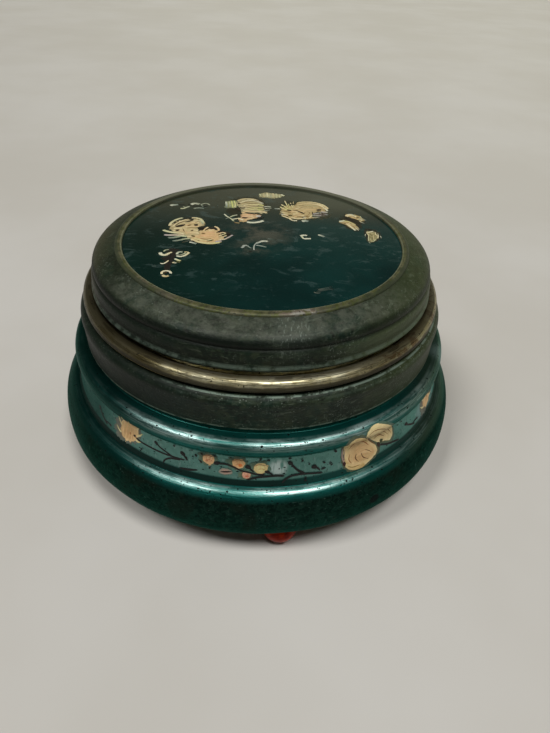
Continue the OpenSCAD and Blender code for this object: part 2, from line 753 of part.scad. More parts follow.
module great_wheel() {
    tooth = crown_pitch * 0.4;
    slope = tan(20);
    color("#b59a55") translate([spring_x, spring_y, 0]) difference() {
        union() {
            translate([0, 0, great_z]) cylinder(r = crown_r + 1.1, h = great_t, $fn = round_n);
            translate([0, 0, great_z]) cylinder(r = arbor_r + 1.6, h = great_t + 0.8, $fn = 48);
            for (i = [0:crown_teeth - 1]) rotate([0, 0, 360 * (i + 0.5) / crown_teeth])
                translate([crown_r - 1, 0, crown_z]) rotate([90, 0, 90]) linear_extrude(2) polygon([
                    [-tooth / 2 - slope, -1], [tooth / 2 + slope, -1],
                    [tooth / 2 - 0.6 * slope, 0.6], [-tooth / 2 + 0.6 * slope, 0.6]
                ]);
        }
        translate([0, 0, great_z - 1]) cylinder(r = arbor_r + bearing_play, h = 5, $fn = 48);
        for (a = [45:90:315]) rotate([0, 0, a]) translate([crown_r * 0.55, 0, great_z - 1])
            cylinder(r = crown_r * 0.18, h = 4, $fn = 48);
    }
}

clutch_z = great_z + great_t + 0.9;
module clutch_spring() {
    color("#6c7178") translate([spring_x, spring_y, clutch_z])
        coil(arbor_r + 0.6, axis_z - 1.35 - clutch_z, 2, 0.5);
}

// Movement: tune cylinder and comb
module tune_cylinder() {
    color("#b59a55") translate([drum_x, spring_y, axis_z]) difference() {
        union() {
            lying(drum_r, drum_l);
            for (i = [0:notes - 1], k = [0:2]) rotate([(i * 47 + k * 120 + (i * i * 13) % 50), 0, 0])
                translate([0.5 + note_pitch * (i + 0.5), 0, drum_r - 0.4])
                    cylinder(r = 0.22, h = pin_l + 0.4, $fn = 16);
        }
        translate([-1, 0, 0]) lying(shaft_r + bearing_play, drum_l + 2);
    }
}

module cylinder_arbor() {
    color("#8f8f88") translate([pinion_x - 0.4, spring_y, axis_z])
        lying(shaft_r, right_x + bracket_t + 0.4 - pinion_x + 0.4);
}

module cylinder_pinion() {
    color("#b59a55") translate([pinion_x, spring_y, axis_z])
        spur(pinion_teeth, crown_m, pinion_w, shaft_r + bearing_play, -90, 0.16);
}

module cylinder_wheel() {
    color("#b59a55") translate([wheel_x, spring_y, axis_z])
        spur(wheel_teeth, wheel_m, wheel_w, shaft_r + bearing_play, first_tilt, 0.14);
}

module comb() {
    tooth_w = note_pitch * 0.72;
    color("#a9adb0") difference() {
        translate([0, 0, comb_z]) linear_extrude(comb_t) {
            translate([drum_x, comb_back_y]) square([drum_l, comb_root_y - comb_back_y]);
            for (i = [0:notes - 1]) translate([
                drum_x + 0.5 + note_pitch * (i + 0.5) - tooth_w / 2, comb_root_y - 0.2 - i * 0.12
            ]) square([tooth_w, comb_tip_y - comb_root_y + 0.2 + i * 0.12]);
        }
        at_each([for (x = comb_screw_x) [x, comb_screw_y]], comb_z - 1)
            cylinder(r = small_screw_r + bearing_play, h = comb_t + 2, $fn = 48);
    }
}

module comb_screws() {
    color("#8f8f88") at_each([for (x = comb_screw_x) [x, comb_screw_y]], comb_z + comb_t)
        screw(small_screw_r, small_head_r, small_head_h, comb_t + 5);
}

// An upright bearing plate with a foot, and bores for shafts along X
module bearing_plate(x, y0, y1, top, bores, foot_side, screws) {
    difference() {
        union() {
            translate([x, y0, floor_z]) cube([bracket_t, y1 - y0, top - floor_z]);
            translate([foot_side > 0 ? x : x - foot_l, y0, floor_z])
                cube([foot_l + bracket_t, y1 - y0, foot_t]);
        }
        for (b = bores) translate([x - 1, b[0], b[1]]) lying(b[2] + bearing_play, bracket_t + 2);
        at_each(screws, floor_z - 1) cylinder(r = small_screw_r + bearing_play, h = 4, $fn = 48);
    }
}

module left_bracket() {
    color("#a98f52")
        bearing_plate(left_x, spring_y - 2 * side_w, spring_y + 2 * side_w, axis_z + side_w,
            [[spring_y, axis_z, shaft_r]], 1, left_screws);
}

module right_bracket() {
    color("#a98f52")
        bearing_plate(right_x, spring_y - 2 * side_w, second_y + side_w, axis_z + side_w, [
            [spring_y, axis_z, shaft_r], [first_y, first_z, shaft_r], [second_y, second_z, pivot_r]
        ], -1, right_screws);
}

module bracket_screws() {
    color("#8f8f88") at_each(concat(left_screws, right_screws), floor_z + foot_t)
        screw(small_screw_r, small_head_r, small_head_h, foot_t + bed_t * 0.8);
}

// Movement: governor
module first_pinion() {
    end = plate_x + bracket_t + 0.3;
    color("#8f8f88") translate([wheel_x - 0.2, first_y, first_z]) {
        spur(first_teeth, wheel_m, wheel_w + 0.4, shaft_r * 0.5, first_tilt + 180 + 180 / first_teeth, 0.14);
        lying(shaft_r, right_x + bracket_t + 0.6 - wheel_x);
        lying(pivot_r, end - wheel_x + 0.2);
        translate([first_wheel_x - 0.2 - wheel_x, 0, 0]) lying(shaft_r, first_wheel_w + 1);
    }
}

module first_wheel() {
    color("#b59a55") translate([first_wheel_x, first_y, first_z])
        spur(first_wheel_teeth, fine_m, first_wheel_w, shaft_r + bearing_play, second_tilt, 0.14);
}

module second_pinion() {
    color("#8f8f88") translate([first_wheel_x - 0.3, second_y, second_z]) {
        spur(second_teeth, fine_m, first_wheel_w + 0.6, pivot_r * 0.5,
            second_tilt + 180 + 180 / second_teeth, 0.14);
        translate([right_x + 0.2 - first_wheel_x, 0, 0])
            lying(pivot_r, plate_x + bracket_t + 0.3 - right_x);
    }
}

module worm_wheel() {
    turn = 180 / PI * worm_wheel_w * worm_lead / (2 * PI * worm_r) / worm_wheel_r;
    color("#b59a55") translate([worm_wheel_x, second_y, second_z]) difference() {
        rotate([0, 90, 0]) rotate([0, 0, 90 - turn / 2])
            linear_extrude(worm_wheel_w, twist = -turn, slices = 6)
                polygon(gear_points(worm_wheel_teeth, 2 * worm_wheel_r / worm_wheel_teeth, 0.24, 0.65, 1.1));
        translate([-1, 0, 0]) lying(pivot_r + bearing_play, worm_wheel_w + 2);
    }
}

module worm() {
    tip = worm_r + 0.28;
    root = worm_r - 0.47;
    share = [0, 0.06, 0.13, 0.27, 0.42, 0.58, 0.73, 0.87, 0.94];
    reach = [tip, tip, tip - 0.08, root, root, root, root, tip - 0.08, tip];
    turn = 360 * worm_len / worm_lead;
    start = -90 - 180 / worm_starts - 360 * (second_z - worm_foot) / worm_lead;
    color("#8f8f88") translate([worm_x, worm_y, 0]) {
        translate([0, 0, worm_foot]) rotate([0, 0, start])
            linear_extrude(worm_len, twist = -turn, slices = 44)
                polygon([for (s = [0:worm_starts - 1], i = [0:len(share) - 1])
                    let (a = 360 * (s + share[i]) / worm_starts) reach[i] * [cos(a), sin(a)]]);
        translate([0, 0, floor_z + 1.7])
            cylinder(r = pivot_r, h = cock_z + cock_t - 0.3 - floor_z - 1.7, $fn = 48);
    }
}

module fly() {
    color("#c3c6c8") translate([worm_x, worm_y, 0]) difference() {
        union() {
            translate([0, 0, brake_z]) cylinder(r = brake_r, h = brake_t, $fn = 64);
            translate([0, 0, fly_z - 0.1]) cylinder(r = 1.2, h = fly_h + 0.1, $fn = 48);
            translate([-fly_r + 0.1, -0.25, fly_z - 0.1]) cube([2 * fly_r - 0.2, 0.5, fly_h + 0.1]);
        }
        translate([0, 0, brake_z - 1]) cylinder(r = pivot_r + bearing_play, h = fly_h + 4, $fn = 48);
    }
}

module governor_plate() {
    color("#a98f52")
        bearing_plate(plate_x, first_y - 2 * side_w, second_y + side_w, second_z + side_w, [
            [first_y, first_z, pivot_r], [second_y, second_z, pivot_r]
        ], 1, plate_screws);
}

module governor_screws() {
    color("#8f8f88") at_each(plate_screws, floor_z + foot_t)
        screw(small_screw_r, small_head_r, small_head_h, foot_t + bed_t * 0.8);
}

module worm_cock() {
    reach = cock_y - worm_y + 1.6;
    color("#a98f52") translate([worm_x - cock_w / 2, 0, 0]) difference() {
        union() {
            translate([0, cock_y, floor_z]) cube([cock_w, post_t, cock_z + cock_t - floor_z]);
            translate([0, cock_y - reach, floor_z + 1.6]) cube([cock_w, reach + 0.1, 1.4]);
            translate([0, cock_y - reach, cock_z]) cube([cock_w, reach + 0.1, cock_t]);
            translate([0, cock_y, floor_z]) cube([cock_w, post_t + foot_l, foot_t]);
        }
        translate([cock_w / 2, worm_y, floor_z + 1]) cylinder(r = pivot_r + bearing_play, h = 3, $fn = 48);
        translate([cock_w / 2, worm_y, cock_z - 1]) cylinder(r = pivot_r + bearing_play, h = 4, $fn = 48);
        translate([cock_w / 2, cock_y + post_t + foot_l / 2, floor_z - 1])
            cylinder(r = small_screw_r + bearing_play, h = 4, $fn = 48);
    }
}

module cock_screw() {
    color("#8f8f88") translate([worm_x, cock_y + post_t + foot_l / 2, floor_z + foot_t])
        screw(small_screw_r, small_head_r * 0.95, small_head_h, foot_t + bed_t * 0.8);
}

// Stop work
module stop_bracket() {
    low_x = max(lever_x - 2.3, bed_x1 + seat_gap);
    high_x = rod_x + 2.4;
    neck_x = rod_x - 3.2;
    color("#a98f52") difference() {
        union() {
            translate([0, stand_y + stand_t, 0]) rotate([90, 0, 0]) linear_extrude(stand_t) polygon([
                [low_x, inside_z], [high_x, inside_z], [high_x, tab_z + stand_t],
                [neck_x, tab_z + stand_t], [neck_x, lever_z + 3.4], [low_x, lever_z + 3.4]
            ]);
            translate([low_x, stand_y, inside_z]) cube([rod_x + 1 - low_x, stand_t + stop_foot_l, stand_t]);
            translate([rod_x - 2.4, lever_y - 1.8, tab_z]) cube([4.8, stand_y - lever_y + 1.9, stand_t]);
            translate([lever_x, stand_y + 0.1, lever_z]) rotate([90, 0, 0]) cylinder(r = 1.8, h = 1, $fn = 48);
        }
        translate([lever_x, stand_y + 4, lever_z]) rotate([90, 0, 0])
            cylinder(r = lever_pin_r + bearing_play, h = 8, $fn = 48);
        translate([rod_x, lever_y, tab_z - 1]) cylinder(r = rod_r + bearing_play, h = 4, $fn = 48);
        at_each([for (x = stop_screw_x) [x, stop_screw_y]], inside_z - 1)
            cylinder(r = screw_r + bearing_play, h = 4, $fn = 48);
    }
}

module stop_screws() {
    color("#8f8f88") at_each([for (x = stop_screw_x) [x, stop_screw_y]], base_z)
        screw_up(screw_r, screw_head_r, screw_head_h, base_t + stand_t + 1);
}

module lever_pin() {
    front = lever_y - lever_w / 2 - 0.3;
    color("#8f8f88") translate([lever_x, front, lever_z]) rotate([-90, 0, 0]) {
        cylinder(r = lever_pin_r, h = stand_y + stand_t - front, $fn = 48);
        translate([0, 0, -0.8]) cylinder(r = 1.5, h = 0.8, $fn = 48);
    }
}

module stop_lever() {
    color("#a9adb0") difference() {
        union() {
            translate([pad_x - 1.4, lever_y - lever_w / 2, lever_z - lever_t / 2])
                cube([rod_x + 1.4 - pad_x + 1.4, lever_w, lever_t]);
            translate([lever_x, lever_y + lever_w / 2, lever_z]) rotate([90, 0, 0])
                cylinder(r = 1.8, h = lever_w, $fn = 48);
        }
        translate([lever_x, lever_y + 3, lever_z]) rotate([90, 0, 0])
            cylinder(r = lever_pin_r + bearing_play, h = 6, $fn = 48);
    }
}

module brake_pad() {
    color("#8a3b34") translate([pad_x, lever_y, lever_z + lever_t / 2])
        cylinder(r = min(pad_r, lever_w / 2), h = pad_t, $fn = 48);
}

module rod_bush() {
    color("#b59a55") translate([rod_x, lever_y, 0]) difference() {
        union() {
            translate([0, 0, bush_z]) cylinder(r = bush_r, h = deck_z - bush_z, $fn = 48);
            translate([0, 0, deck_z]) cylinder(r = bush_rim_r, h = 0.9, $fn = 48);
        }
        translate([0, 0, bush_z - 1]) cylinder(r = rod_r + bearing_play, h = 10, $fn = 48);
    }
}

module stop_rod() {
    color("#a9adb0") translate([rod_x, lever_y, rod_z]) cylinder(r = rod_r, h = rod_top - rod_z, $fn = 48);
}

module rod_collar() {
    color("#8f8f88") translate([rod_x, lever_y, clip_z]) ring(clip_r, rod_r + bearing_play, clip_t);
}

module rod_spring() {
    low = tab_z + stand_t + spring_gap;
    color("#6c7178") translate([rod_x, lever_y, low])
        coil(spring_r, clip_z - spring_gap - low, rod_turns, spring_wire);
}

lid_shell();
top_plate();
gilt_ring();
mirror_card();
mirror_glass();
mirror_bezel();
powder_bowl();
powder_pan();
brass_collar();
upper_shell();
lower_shell();
base_plate();
base_screws();
ball_feet();
foot_studs();
foot_nuts();
bedplate();
movement_screws();
spring_housing();
housing_screws();
mainspring();
winding_arbor();
winding_key();
great_wheel();
clutch_spring();
tune_cylinder();
cylinder_arbor();
cylinder_pinion();
cylinder_wheel();
comb();
comb_screws();
left_bracket();
right_bracket();
bracket_screws();
first_pinion();
first_wheel();
second_pinion();
worm_wheel();
worm();
fly();
governor_plate();
governor_screws();
worm_cock();
cock_screw();
stop_bracket();
stop_screws();
lever_pin();
stop_lever();
brake_pad();
rod_bush();
stop_rod();
rod_collar();
rod_spring();
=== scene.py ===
import math
import random

import bmesh
import bpy
import numpy as np
from mathutils import Euler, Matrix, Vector, noise


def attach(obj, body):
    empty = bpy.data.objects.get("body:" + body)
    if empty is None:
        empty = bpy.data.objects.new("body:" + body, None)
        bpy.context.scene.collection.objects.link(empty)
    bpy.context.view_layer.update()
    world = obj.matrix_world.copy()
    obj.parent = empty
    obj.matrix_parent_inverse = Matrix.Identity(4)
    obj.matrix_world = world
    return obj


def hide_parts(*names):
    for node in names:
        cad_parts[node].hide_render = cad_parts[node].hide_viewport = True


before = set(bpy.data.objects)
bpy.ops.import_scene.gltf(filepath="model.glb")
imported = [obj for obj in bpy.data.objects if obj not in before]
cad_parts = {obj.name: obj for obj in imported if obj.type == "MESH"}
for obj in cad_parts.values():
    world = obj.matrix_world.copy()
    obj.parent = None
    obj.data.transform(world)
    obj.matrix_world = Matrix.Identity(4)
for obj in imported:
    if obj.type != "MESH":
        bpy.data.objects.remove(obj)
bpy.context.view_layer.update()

mm = 0.001
print("frame loaded,", len(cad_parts), "nodes")


class Wire:
    # one socket of a shader: sums on it add the nodes
    def __init__(self, finish, socket):
        self.finish, self.socket = finish, socket

    def __add__(self, other): return self.finish.sum("ADD", self, other)
    def __radd__(self, other): return self.finish.sum("ADD", other, self)
    def __sub__(self, other): return self.finish.sum("SUBTRACT", self, other)
    def __rsub__(self, other): return self.finish.sum("SUBTRACT", other, self)
    def __mul__(self, other): return self.finish.sum("MULTIPLY", self, other)
    def __rmul__(self, other): return self.finish.sum("MULTIPLY", other, self)
    def __lt__(self, other): return self.finish.sum("LESS_THAN", self, other)
    def __gt__(self, other): return self.finish.sum("GREATER_THAN", self, other)

    def also(self, outlet):
        # another outlet of the same node
        return Wire(self.finish, self.socket.node.outputs[outlet])


def tone(red, green, blue):
    # a colour as it is read off a screen, for a shader socket
    linear = [c / 255 / 12.92 if c <= 10 else ((c / 255 + 0.055) / 1.055) ** 2.4
              for c in (red, green, blue)]
    return (*linear, 1.0)


class Finish:
    # the nodes of a material, or of the room round the scene; places on a piece are in millimetres
    sockets = {"coat": "Coat Weight", "coatRough": "Coat Roughness", "specular": "Specular IOR Level",
               "ior": "IOR", "through": "Transmission Weight", "sheen": "Sheen Weight", "edge": "Specular Tint"}

    def __init__(self, name, room=False):
        self.owner = (bpy.data.worlds if room else bpy.data.materials).new(name)
        self.owner.use_nodes = True
        self.tree = self.owner.node_tree
        self.tree.nodes.clear()
        place = self.add("ShaderNodeTexCoord", {}, {}, "Generated" if room else "Object")
        self.place = place if room else self.vector("SCALE", place, scale=1 / mm)

    def add(self, kind, settings, inputs, outlet=0):
        node = self.tree.nodes.new(kind)
        for name, value in settings.items():
            setattr(node, name, value)
        for name, value in inputs.items():
            if isinstance(value, Wire):
                self.tree.links.new(value.socket, node.inputs[name])
            else:
                node.inputs[name].default_value = value
        return Wire(self, node.outputs[outlet]) if node.outputs else None

    def sum(self, operation, a, b=0.0):
        return self.add("ShaderNodeMath", {"operation": operation}, {0: a, 1: b})

    def vector(self, operation, a, b=None, scale=None, outlet=0):
        inputs = {0: a}
        if b is not None:
            inputs[1] = b
        if scale is not None:
            inputs["Scale"] = scale
        return self.add("ShaderNodeVectorMath", {"operation": operation}, inputs, outlet)

    def mix(self, factor, a, b, mode="MIX"):
        return self.add("ShaderNodeMix", {"data_type": "RGBA", "blend_type": mode}, {0: factor, 6: a, 7: b}, 2)

    def blend(self, factor, low, high):
        return self.mix(factor, tone(*low), tone(*high))

    def layers(self, colour, *layers):
        # each layer: how much of it shows, and its colour
        for share, shade in layers:
            colour = self.mix(share, colour, tone(*shade))
        return colour

    def most(self, *values):
        top = values[0]
        for value in values[1:]:
            top = self.sum("MAXIMUM", top, value)
        return top

    def fade(self, value, low, high, before=0.0, after=1.0):
        # before at low, after at high, smooth between
        return self.add("ShaderNodeMapRange", {"interpolation_type": "SMOOTHSTEP"},
                        {"Value": value, "From Min": low, "From Max": high, "To Min": before, "To Max": after})

    def between(self, value, start, full, last, end):
        # rises from start to full, falls from last to end
        return self.fade(value, start, full) * self.fade(value, end, last)

    def noise(self, scale, detail=3.0, rough=0.55, shape=(1, 1, 1), warp=0.0):
        place = self.vector("MULTIPLY", self.place, shape)
        return self.add("ShaderNodeTexNoise", {}, {"Vector": place, "Scale": scale, "Detail": detail,
                                                   "Roughness": rough, "Distortion": warp})

    def specks(self, scale, share, size, shape=(1, 1, 1), soft=0.35):
        # small spots: one in each cell that a draw picks, with ragged edges
        ragged = self.add("ShaderNodeTexNoise", {}, {"Vector": self.place, "Scale": scale * 2.2, "Detail": 1.0},
                          "Color")
        moved = self.vector("ADD", self.vector("MULTIPLY", self.place, shape),
                            self.vector("SCALE", ragged, scale=0.5 / scale))
        away = self.add("ShaderNodeTexVoronoi", {}, {"Vector": moved, "Scale": scale}, "Distance")
        draw = self.add("ShaderNodeSeparateColor", {}, {"Color": away.also("Color")}, "Red")
        return self.fade(away, size, size * (1 - soft)) * (draw < share)

    def across(self, axis):
        return self.add("ShaderNodeSeparateXYZ", {}, {"Vector": self.place}, axis)

    def radius(self):
        return self.vector("LENGTH", self.vector("MULTIPLY", self.place, (1, 1, 0)), outlet=1)

    def near(self, x, y, z, size, soft=0.6):
        # one inside a ball round a point, fading out to nothing at its edge
        away = self.vector("LENGTH", self.vector("SUBTRACT", self.place, (x, y, z)), outlet=1)
        return self.fade(away, size, size * (1 - soft))

    def skin(self, colour, rough, metal=0.0, bump=None, **fixed):
        # bump is a height in millimetres
        inputs = {"Base Color": colour, "Roughness": rough, "Metallic": metal}
        if bump is not None:
            inputs["Normal"] = self.add("ShaderNodeBump", {}, {"Height": bump, "Strength": 1.0, "Distance": mm})
        inputs.update({self.sockets[name]: value for name, value in fixed.items()})
        self.add("ShaderNodeOutputMaterial", {}, {"Surface": self.add("ShaderNodeBsdfPrincipled", {}, inputs)})
        return self.owner


view = {"place": (0.0, -161.77, 147.71), "yaw": 2.07, "pitch": 38.64, "roll": 2.95,  # millimetres and degrees
        "focal": 549.3, "longSide": 733, "sensor": 36}  # focal length and picture in pixels, sensor in mm


def makeCamera():
    lens = bpy.data.cameras.new("camera")
    lens.sensor_width = view["sensor"]
    lens.lens = view["focal"] * view["sensor"] / view["longSide"]
    lens.clip_start, lens.clip_end = 0.005, 20
    camera = bpy.data.objects.new("camera", lens)
    turns = [(0, 0, -view["yaw"]), (90 - view["pitch"], 0, 0), (0, 0, view["roll"])]
    yaw, pitch, roll = [Euler([math.radians(angle) for angle in turn]).to_matrix() for turn in turns]
    camera.matrix_world = (yaw @ pitch @ roll).to_4x4()
    camera.location = Vector(view["place"]) * mm
    bpy.context.collection.objects.link(camera)
    bpy.context.scene.camera = camera


light = {
    "lamps": [  # name, azimuth to the right of the front, elevation and width in degrees, strength
        ("lampLeft", -62, 60, 15, 1.20),
        ("lampRight", 34, 70, 20, 1.78),
    ],
    "lampColour": (1.0, 0.985, 0.955), "roomColour": (1.0, 0.975, 0.72, 1), "wall": (196, 193, 183),
    # the room's light along each axis: start and end of the change, strength before and after it
    "Z": (0.27, 0.455, 0.60, 0.05), "Y": (-0.35, 0.45, 0.22, 1.0), "X": (-0.60, 0.0, 0.40, 1.0),
}


def makeLights():
    for name, azimuth, elevation, width, strength in light["lamps"]:
        lamp = bpy.data.lights.new(name, "SUN")
        lamp.angle, lamp.energy, lamp.color = math.radians(width), strength, light["lampColour"]
        holder = bpy.data.objects.new(name, lamp)
        a, e = math.radians(azimuth), math.radians(elevation)
        towards = Vector((math.sin(a) * math.cos(e), -math.cos(a) * math.cos(e), math.sin(e)))
        holder.rotation_euler = towards.to_track_quat("Z", "Y").to_euler()
        bpy.context.collection.objects.link(holder)
    # bright low behind, dimmer in front, above and on the left; the camera itself sees a pale wall
    room = Finish("studio", room=True)
    high, front, left = [room.fade(room.across(axis), *light[axis]) for axis in "ZYX"]
    lit = room.add("ShaderNodeBackground", {}, {"Color": light["roomColour"], "Strength": high * front * left})
    wall = room.add("ShaderNodeBackground", {}, {"Color": tone(*light["wall"])})
    seen = room.add("ShaderNodeLightPath", {}, {}, "Is Camera Ray")
    shown = room.add("ShaderNodeMixShader", {}, {0: seen, 1: lit, 2: wall})
    room.add("ShaderNodeOutputWorld", {}, {"Surface": shown})
    bpy.context.scene.world = room.owner


def meshOf(name, points, faces, finishes, smooth=None):
    mesh = bpy.data.meshes.new(name)
    mesh.from_pydata(points, [], faces)
    mesh.update()
    piece = bpy.data.objects.new(name, mesh)
    for finish in finishes:
        mesh.materials.append(finish)
    if smooth is not None:
        mesh.shade_smooth()
        mesh.set_sharp_from_angle(angle=math.radians(smooth))
    bpy.context.collection.objects.link(piece)
    return piece


counter = {"half": 2.6, "low": (197, 194, 188), "high": (205, 203, 199)}  # half its side in metres, two greys


def makeFloor():
    f, half = Finish("paleCounter"), counter["half"]
    colour = f.blend(f.fade(f.noise(0.006, 4.0), 0.35, 0.7), counter["low"], counter["high"])
    material = f.skin(colour, 0.32 + 0.08 * f.noise(0.02), specular=0.4)
    corners = [(-half, -half, 0), (half, -half, 0), (half, half, 0), (-half, half, 0)]
    floor = meshOf("floor", corners, [(0, 1, 2, 3)], [material])


makeCamera()
makeLights()
makeFloor()
bpy.context.scene.view_settings.view_transform = "Standard"
print("camera, lights and floor made")


# half outlines, in millimetres: radius and height
def arc(middle, r, start, end, n):
    angles = [math.radians(start + (end - start) * i / n) for i in range(n + 1)]
    return [(middle[0] + r * math.cos(a), middle[1] + r * math.sin(a)) for a in angles]


def bend(a, b, c, n):
    steps = [i / n for i in range(n + 1)]
    return [tuple((1 - t) ** 2 * a[k] + 2 * t * (1 - t) * b[k] + t * t * c[k] for k in (0, 1)) for t in steps]


def bulge(middle, a, b, power, n):
    turns = [math.pi / 2 * i / n for i in range(n + 1)]
    return [(middle[0] + a * max(0.0, math.cos(t)) ** (2 / power), middle[1] + b * math.sin(t) ** (2 / power))
            for t in turns]


def oval(middle, a, b, start, end, step):
    angles = [math.radians(t) for t in range(start, end, step)]
    return [(middle[0] + a * math.cos(t), middle[1] + b * math.sin(t)) for t in angles]


def shifted(line, wall):
    # the same line moved to its left
    out = []
    for i, (r, z) in enumerate(line):
        (r0, z0), (r1, z1) = line[max(i - 1, 0)], line[min(i + 1, len(line) - 1)]
        length = math.hypot(r1 - r0, z1 - z0) or 1
        out.append((r - wall * (z1 - z0) / length, z + wall * (r1 - r0) / length))
    return out


def eased(line, radius, sharp=32):
    # rounds each corner of a closed outline a little, as spun or pressed metal is; sharp in degrees
    out, n = [], len(line)
    for i in range(n):
        before, here, after = Vector(line[i - 1]), Vector(line[i]), Vector(line[(i + 1) % n])
        a, b = before - here, after - here
        if min(a.length, b.length, here.x) < 1e-6 or 180 - math.degrees(a.angle(b)) < sharp:
            out.append(tuple(here))
            continue
        reach = min(radius, a.length * 0.45, b.length * 0.45)
        out += bend(tuple(here + a.normalized() * reach), tuple(here), tuple(here + b.normalized() * reach), 4)
    return out


def fine(line, step):
    # extra points, so that no stretch of the outline is longer than step
    out = []
    for (r0, z0), (r1, z1) in zip(line, line[1:] + line[:1]):
        n = max(1, math.ceil(math.hypot(r1 - r0, z1 - z0) / step))
        out += [(r0 + (r1 - r0) * i / n, z0 + (z1 - z0) * i / n) for i in range(n)]
    return out


# waves and dents of thin sheet: heights in millimetres, scales per millimetre
sheet = {"dentScale": 0.045, "dentMean": 0.35, "dentSwing": 1.1, "wave": 0.045, "waveScale": 0.055}


def dentAt(x, y, z, depth):
    # how far a thin sheet is pushed in at a point: wide shallow dents
    swing = noise.noise(Vector((x, y, z * 1.6)) * sheet["dentScale"])
    return depth * max(0.0, sheet["dentMean"] + sheet["dentSwing"] * swing)


def spun(r, angle, z, x=0.0, y=0.0):
    return ((x + r * math.cos(angle)) * mm, (y + r * math.sin(angle)) * mm, z * mm)


def turned(name, line, finishes, turns=288, dent=0.0, inner=None, smooth=38):
    # turns a closed outline round its axis; the inner finish starts at the outline's point nearest to inner
    points, faces, kinds, n = [], [], [], len(line)
    start = n
    if inner:
        start = min(range(n), key=lambda i: math.hypot(line[i][0] - inner[0], line[i][1] - inner[1]))
    for j in range(turns):
        a = 2 * math.pi * j / turns
        for r, z in line:
            pull = dentAt(r * math.cos(a), r * math.sin(a), z, dent) if dent else 0.0
            points.append(spun(r - pull, a, z))
    for j in range(turns):
        here, beyond = j * n, (j + 1) % turns * n
        for i in range(n):
            k = (i + 1) % n
            if max(line[i][0], line[k][0]) >= 1e-6:
                faces.append([here + i, beyond + i, beyond + k, here + k])
                kinds.append(1 if start <= i < n - 1 else 0)
    piece = meshOf(name, points, faces, finishes, smooth)
    piece.data.polygons.foreach_set("material_index", kinds)
    return tidyMesh(piece, smooth)


def tidyMesh(piece, smooth):
    shape = bmesh.new()
    shape.from_mesh(piece.data)
    bmesh.ops.remove_doubles(shape, verts=shape.verts, dist=1e-7)
    bmesh.ops.dissolve_degenerate(shape, edges=shape.edges, dist=1e-7)
    bmesh.ops.recalc_face_normals(shape, faces=shape.faces)
    shape.to_mesh(piece.data)
    shape.free()
    piece.data.shade_smooth()
    piece.data.set_sharp_from_angle(angle=math.radians(smooth))
    return piece


def dress(piece, body, slot, *nodes):
    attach(piece, body)
    if nodes:
        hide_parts(*nodes)
    return piece


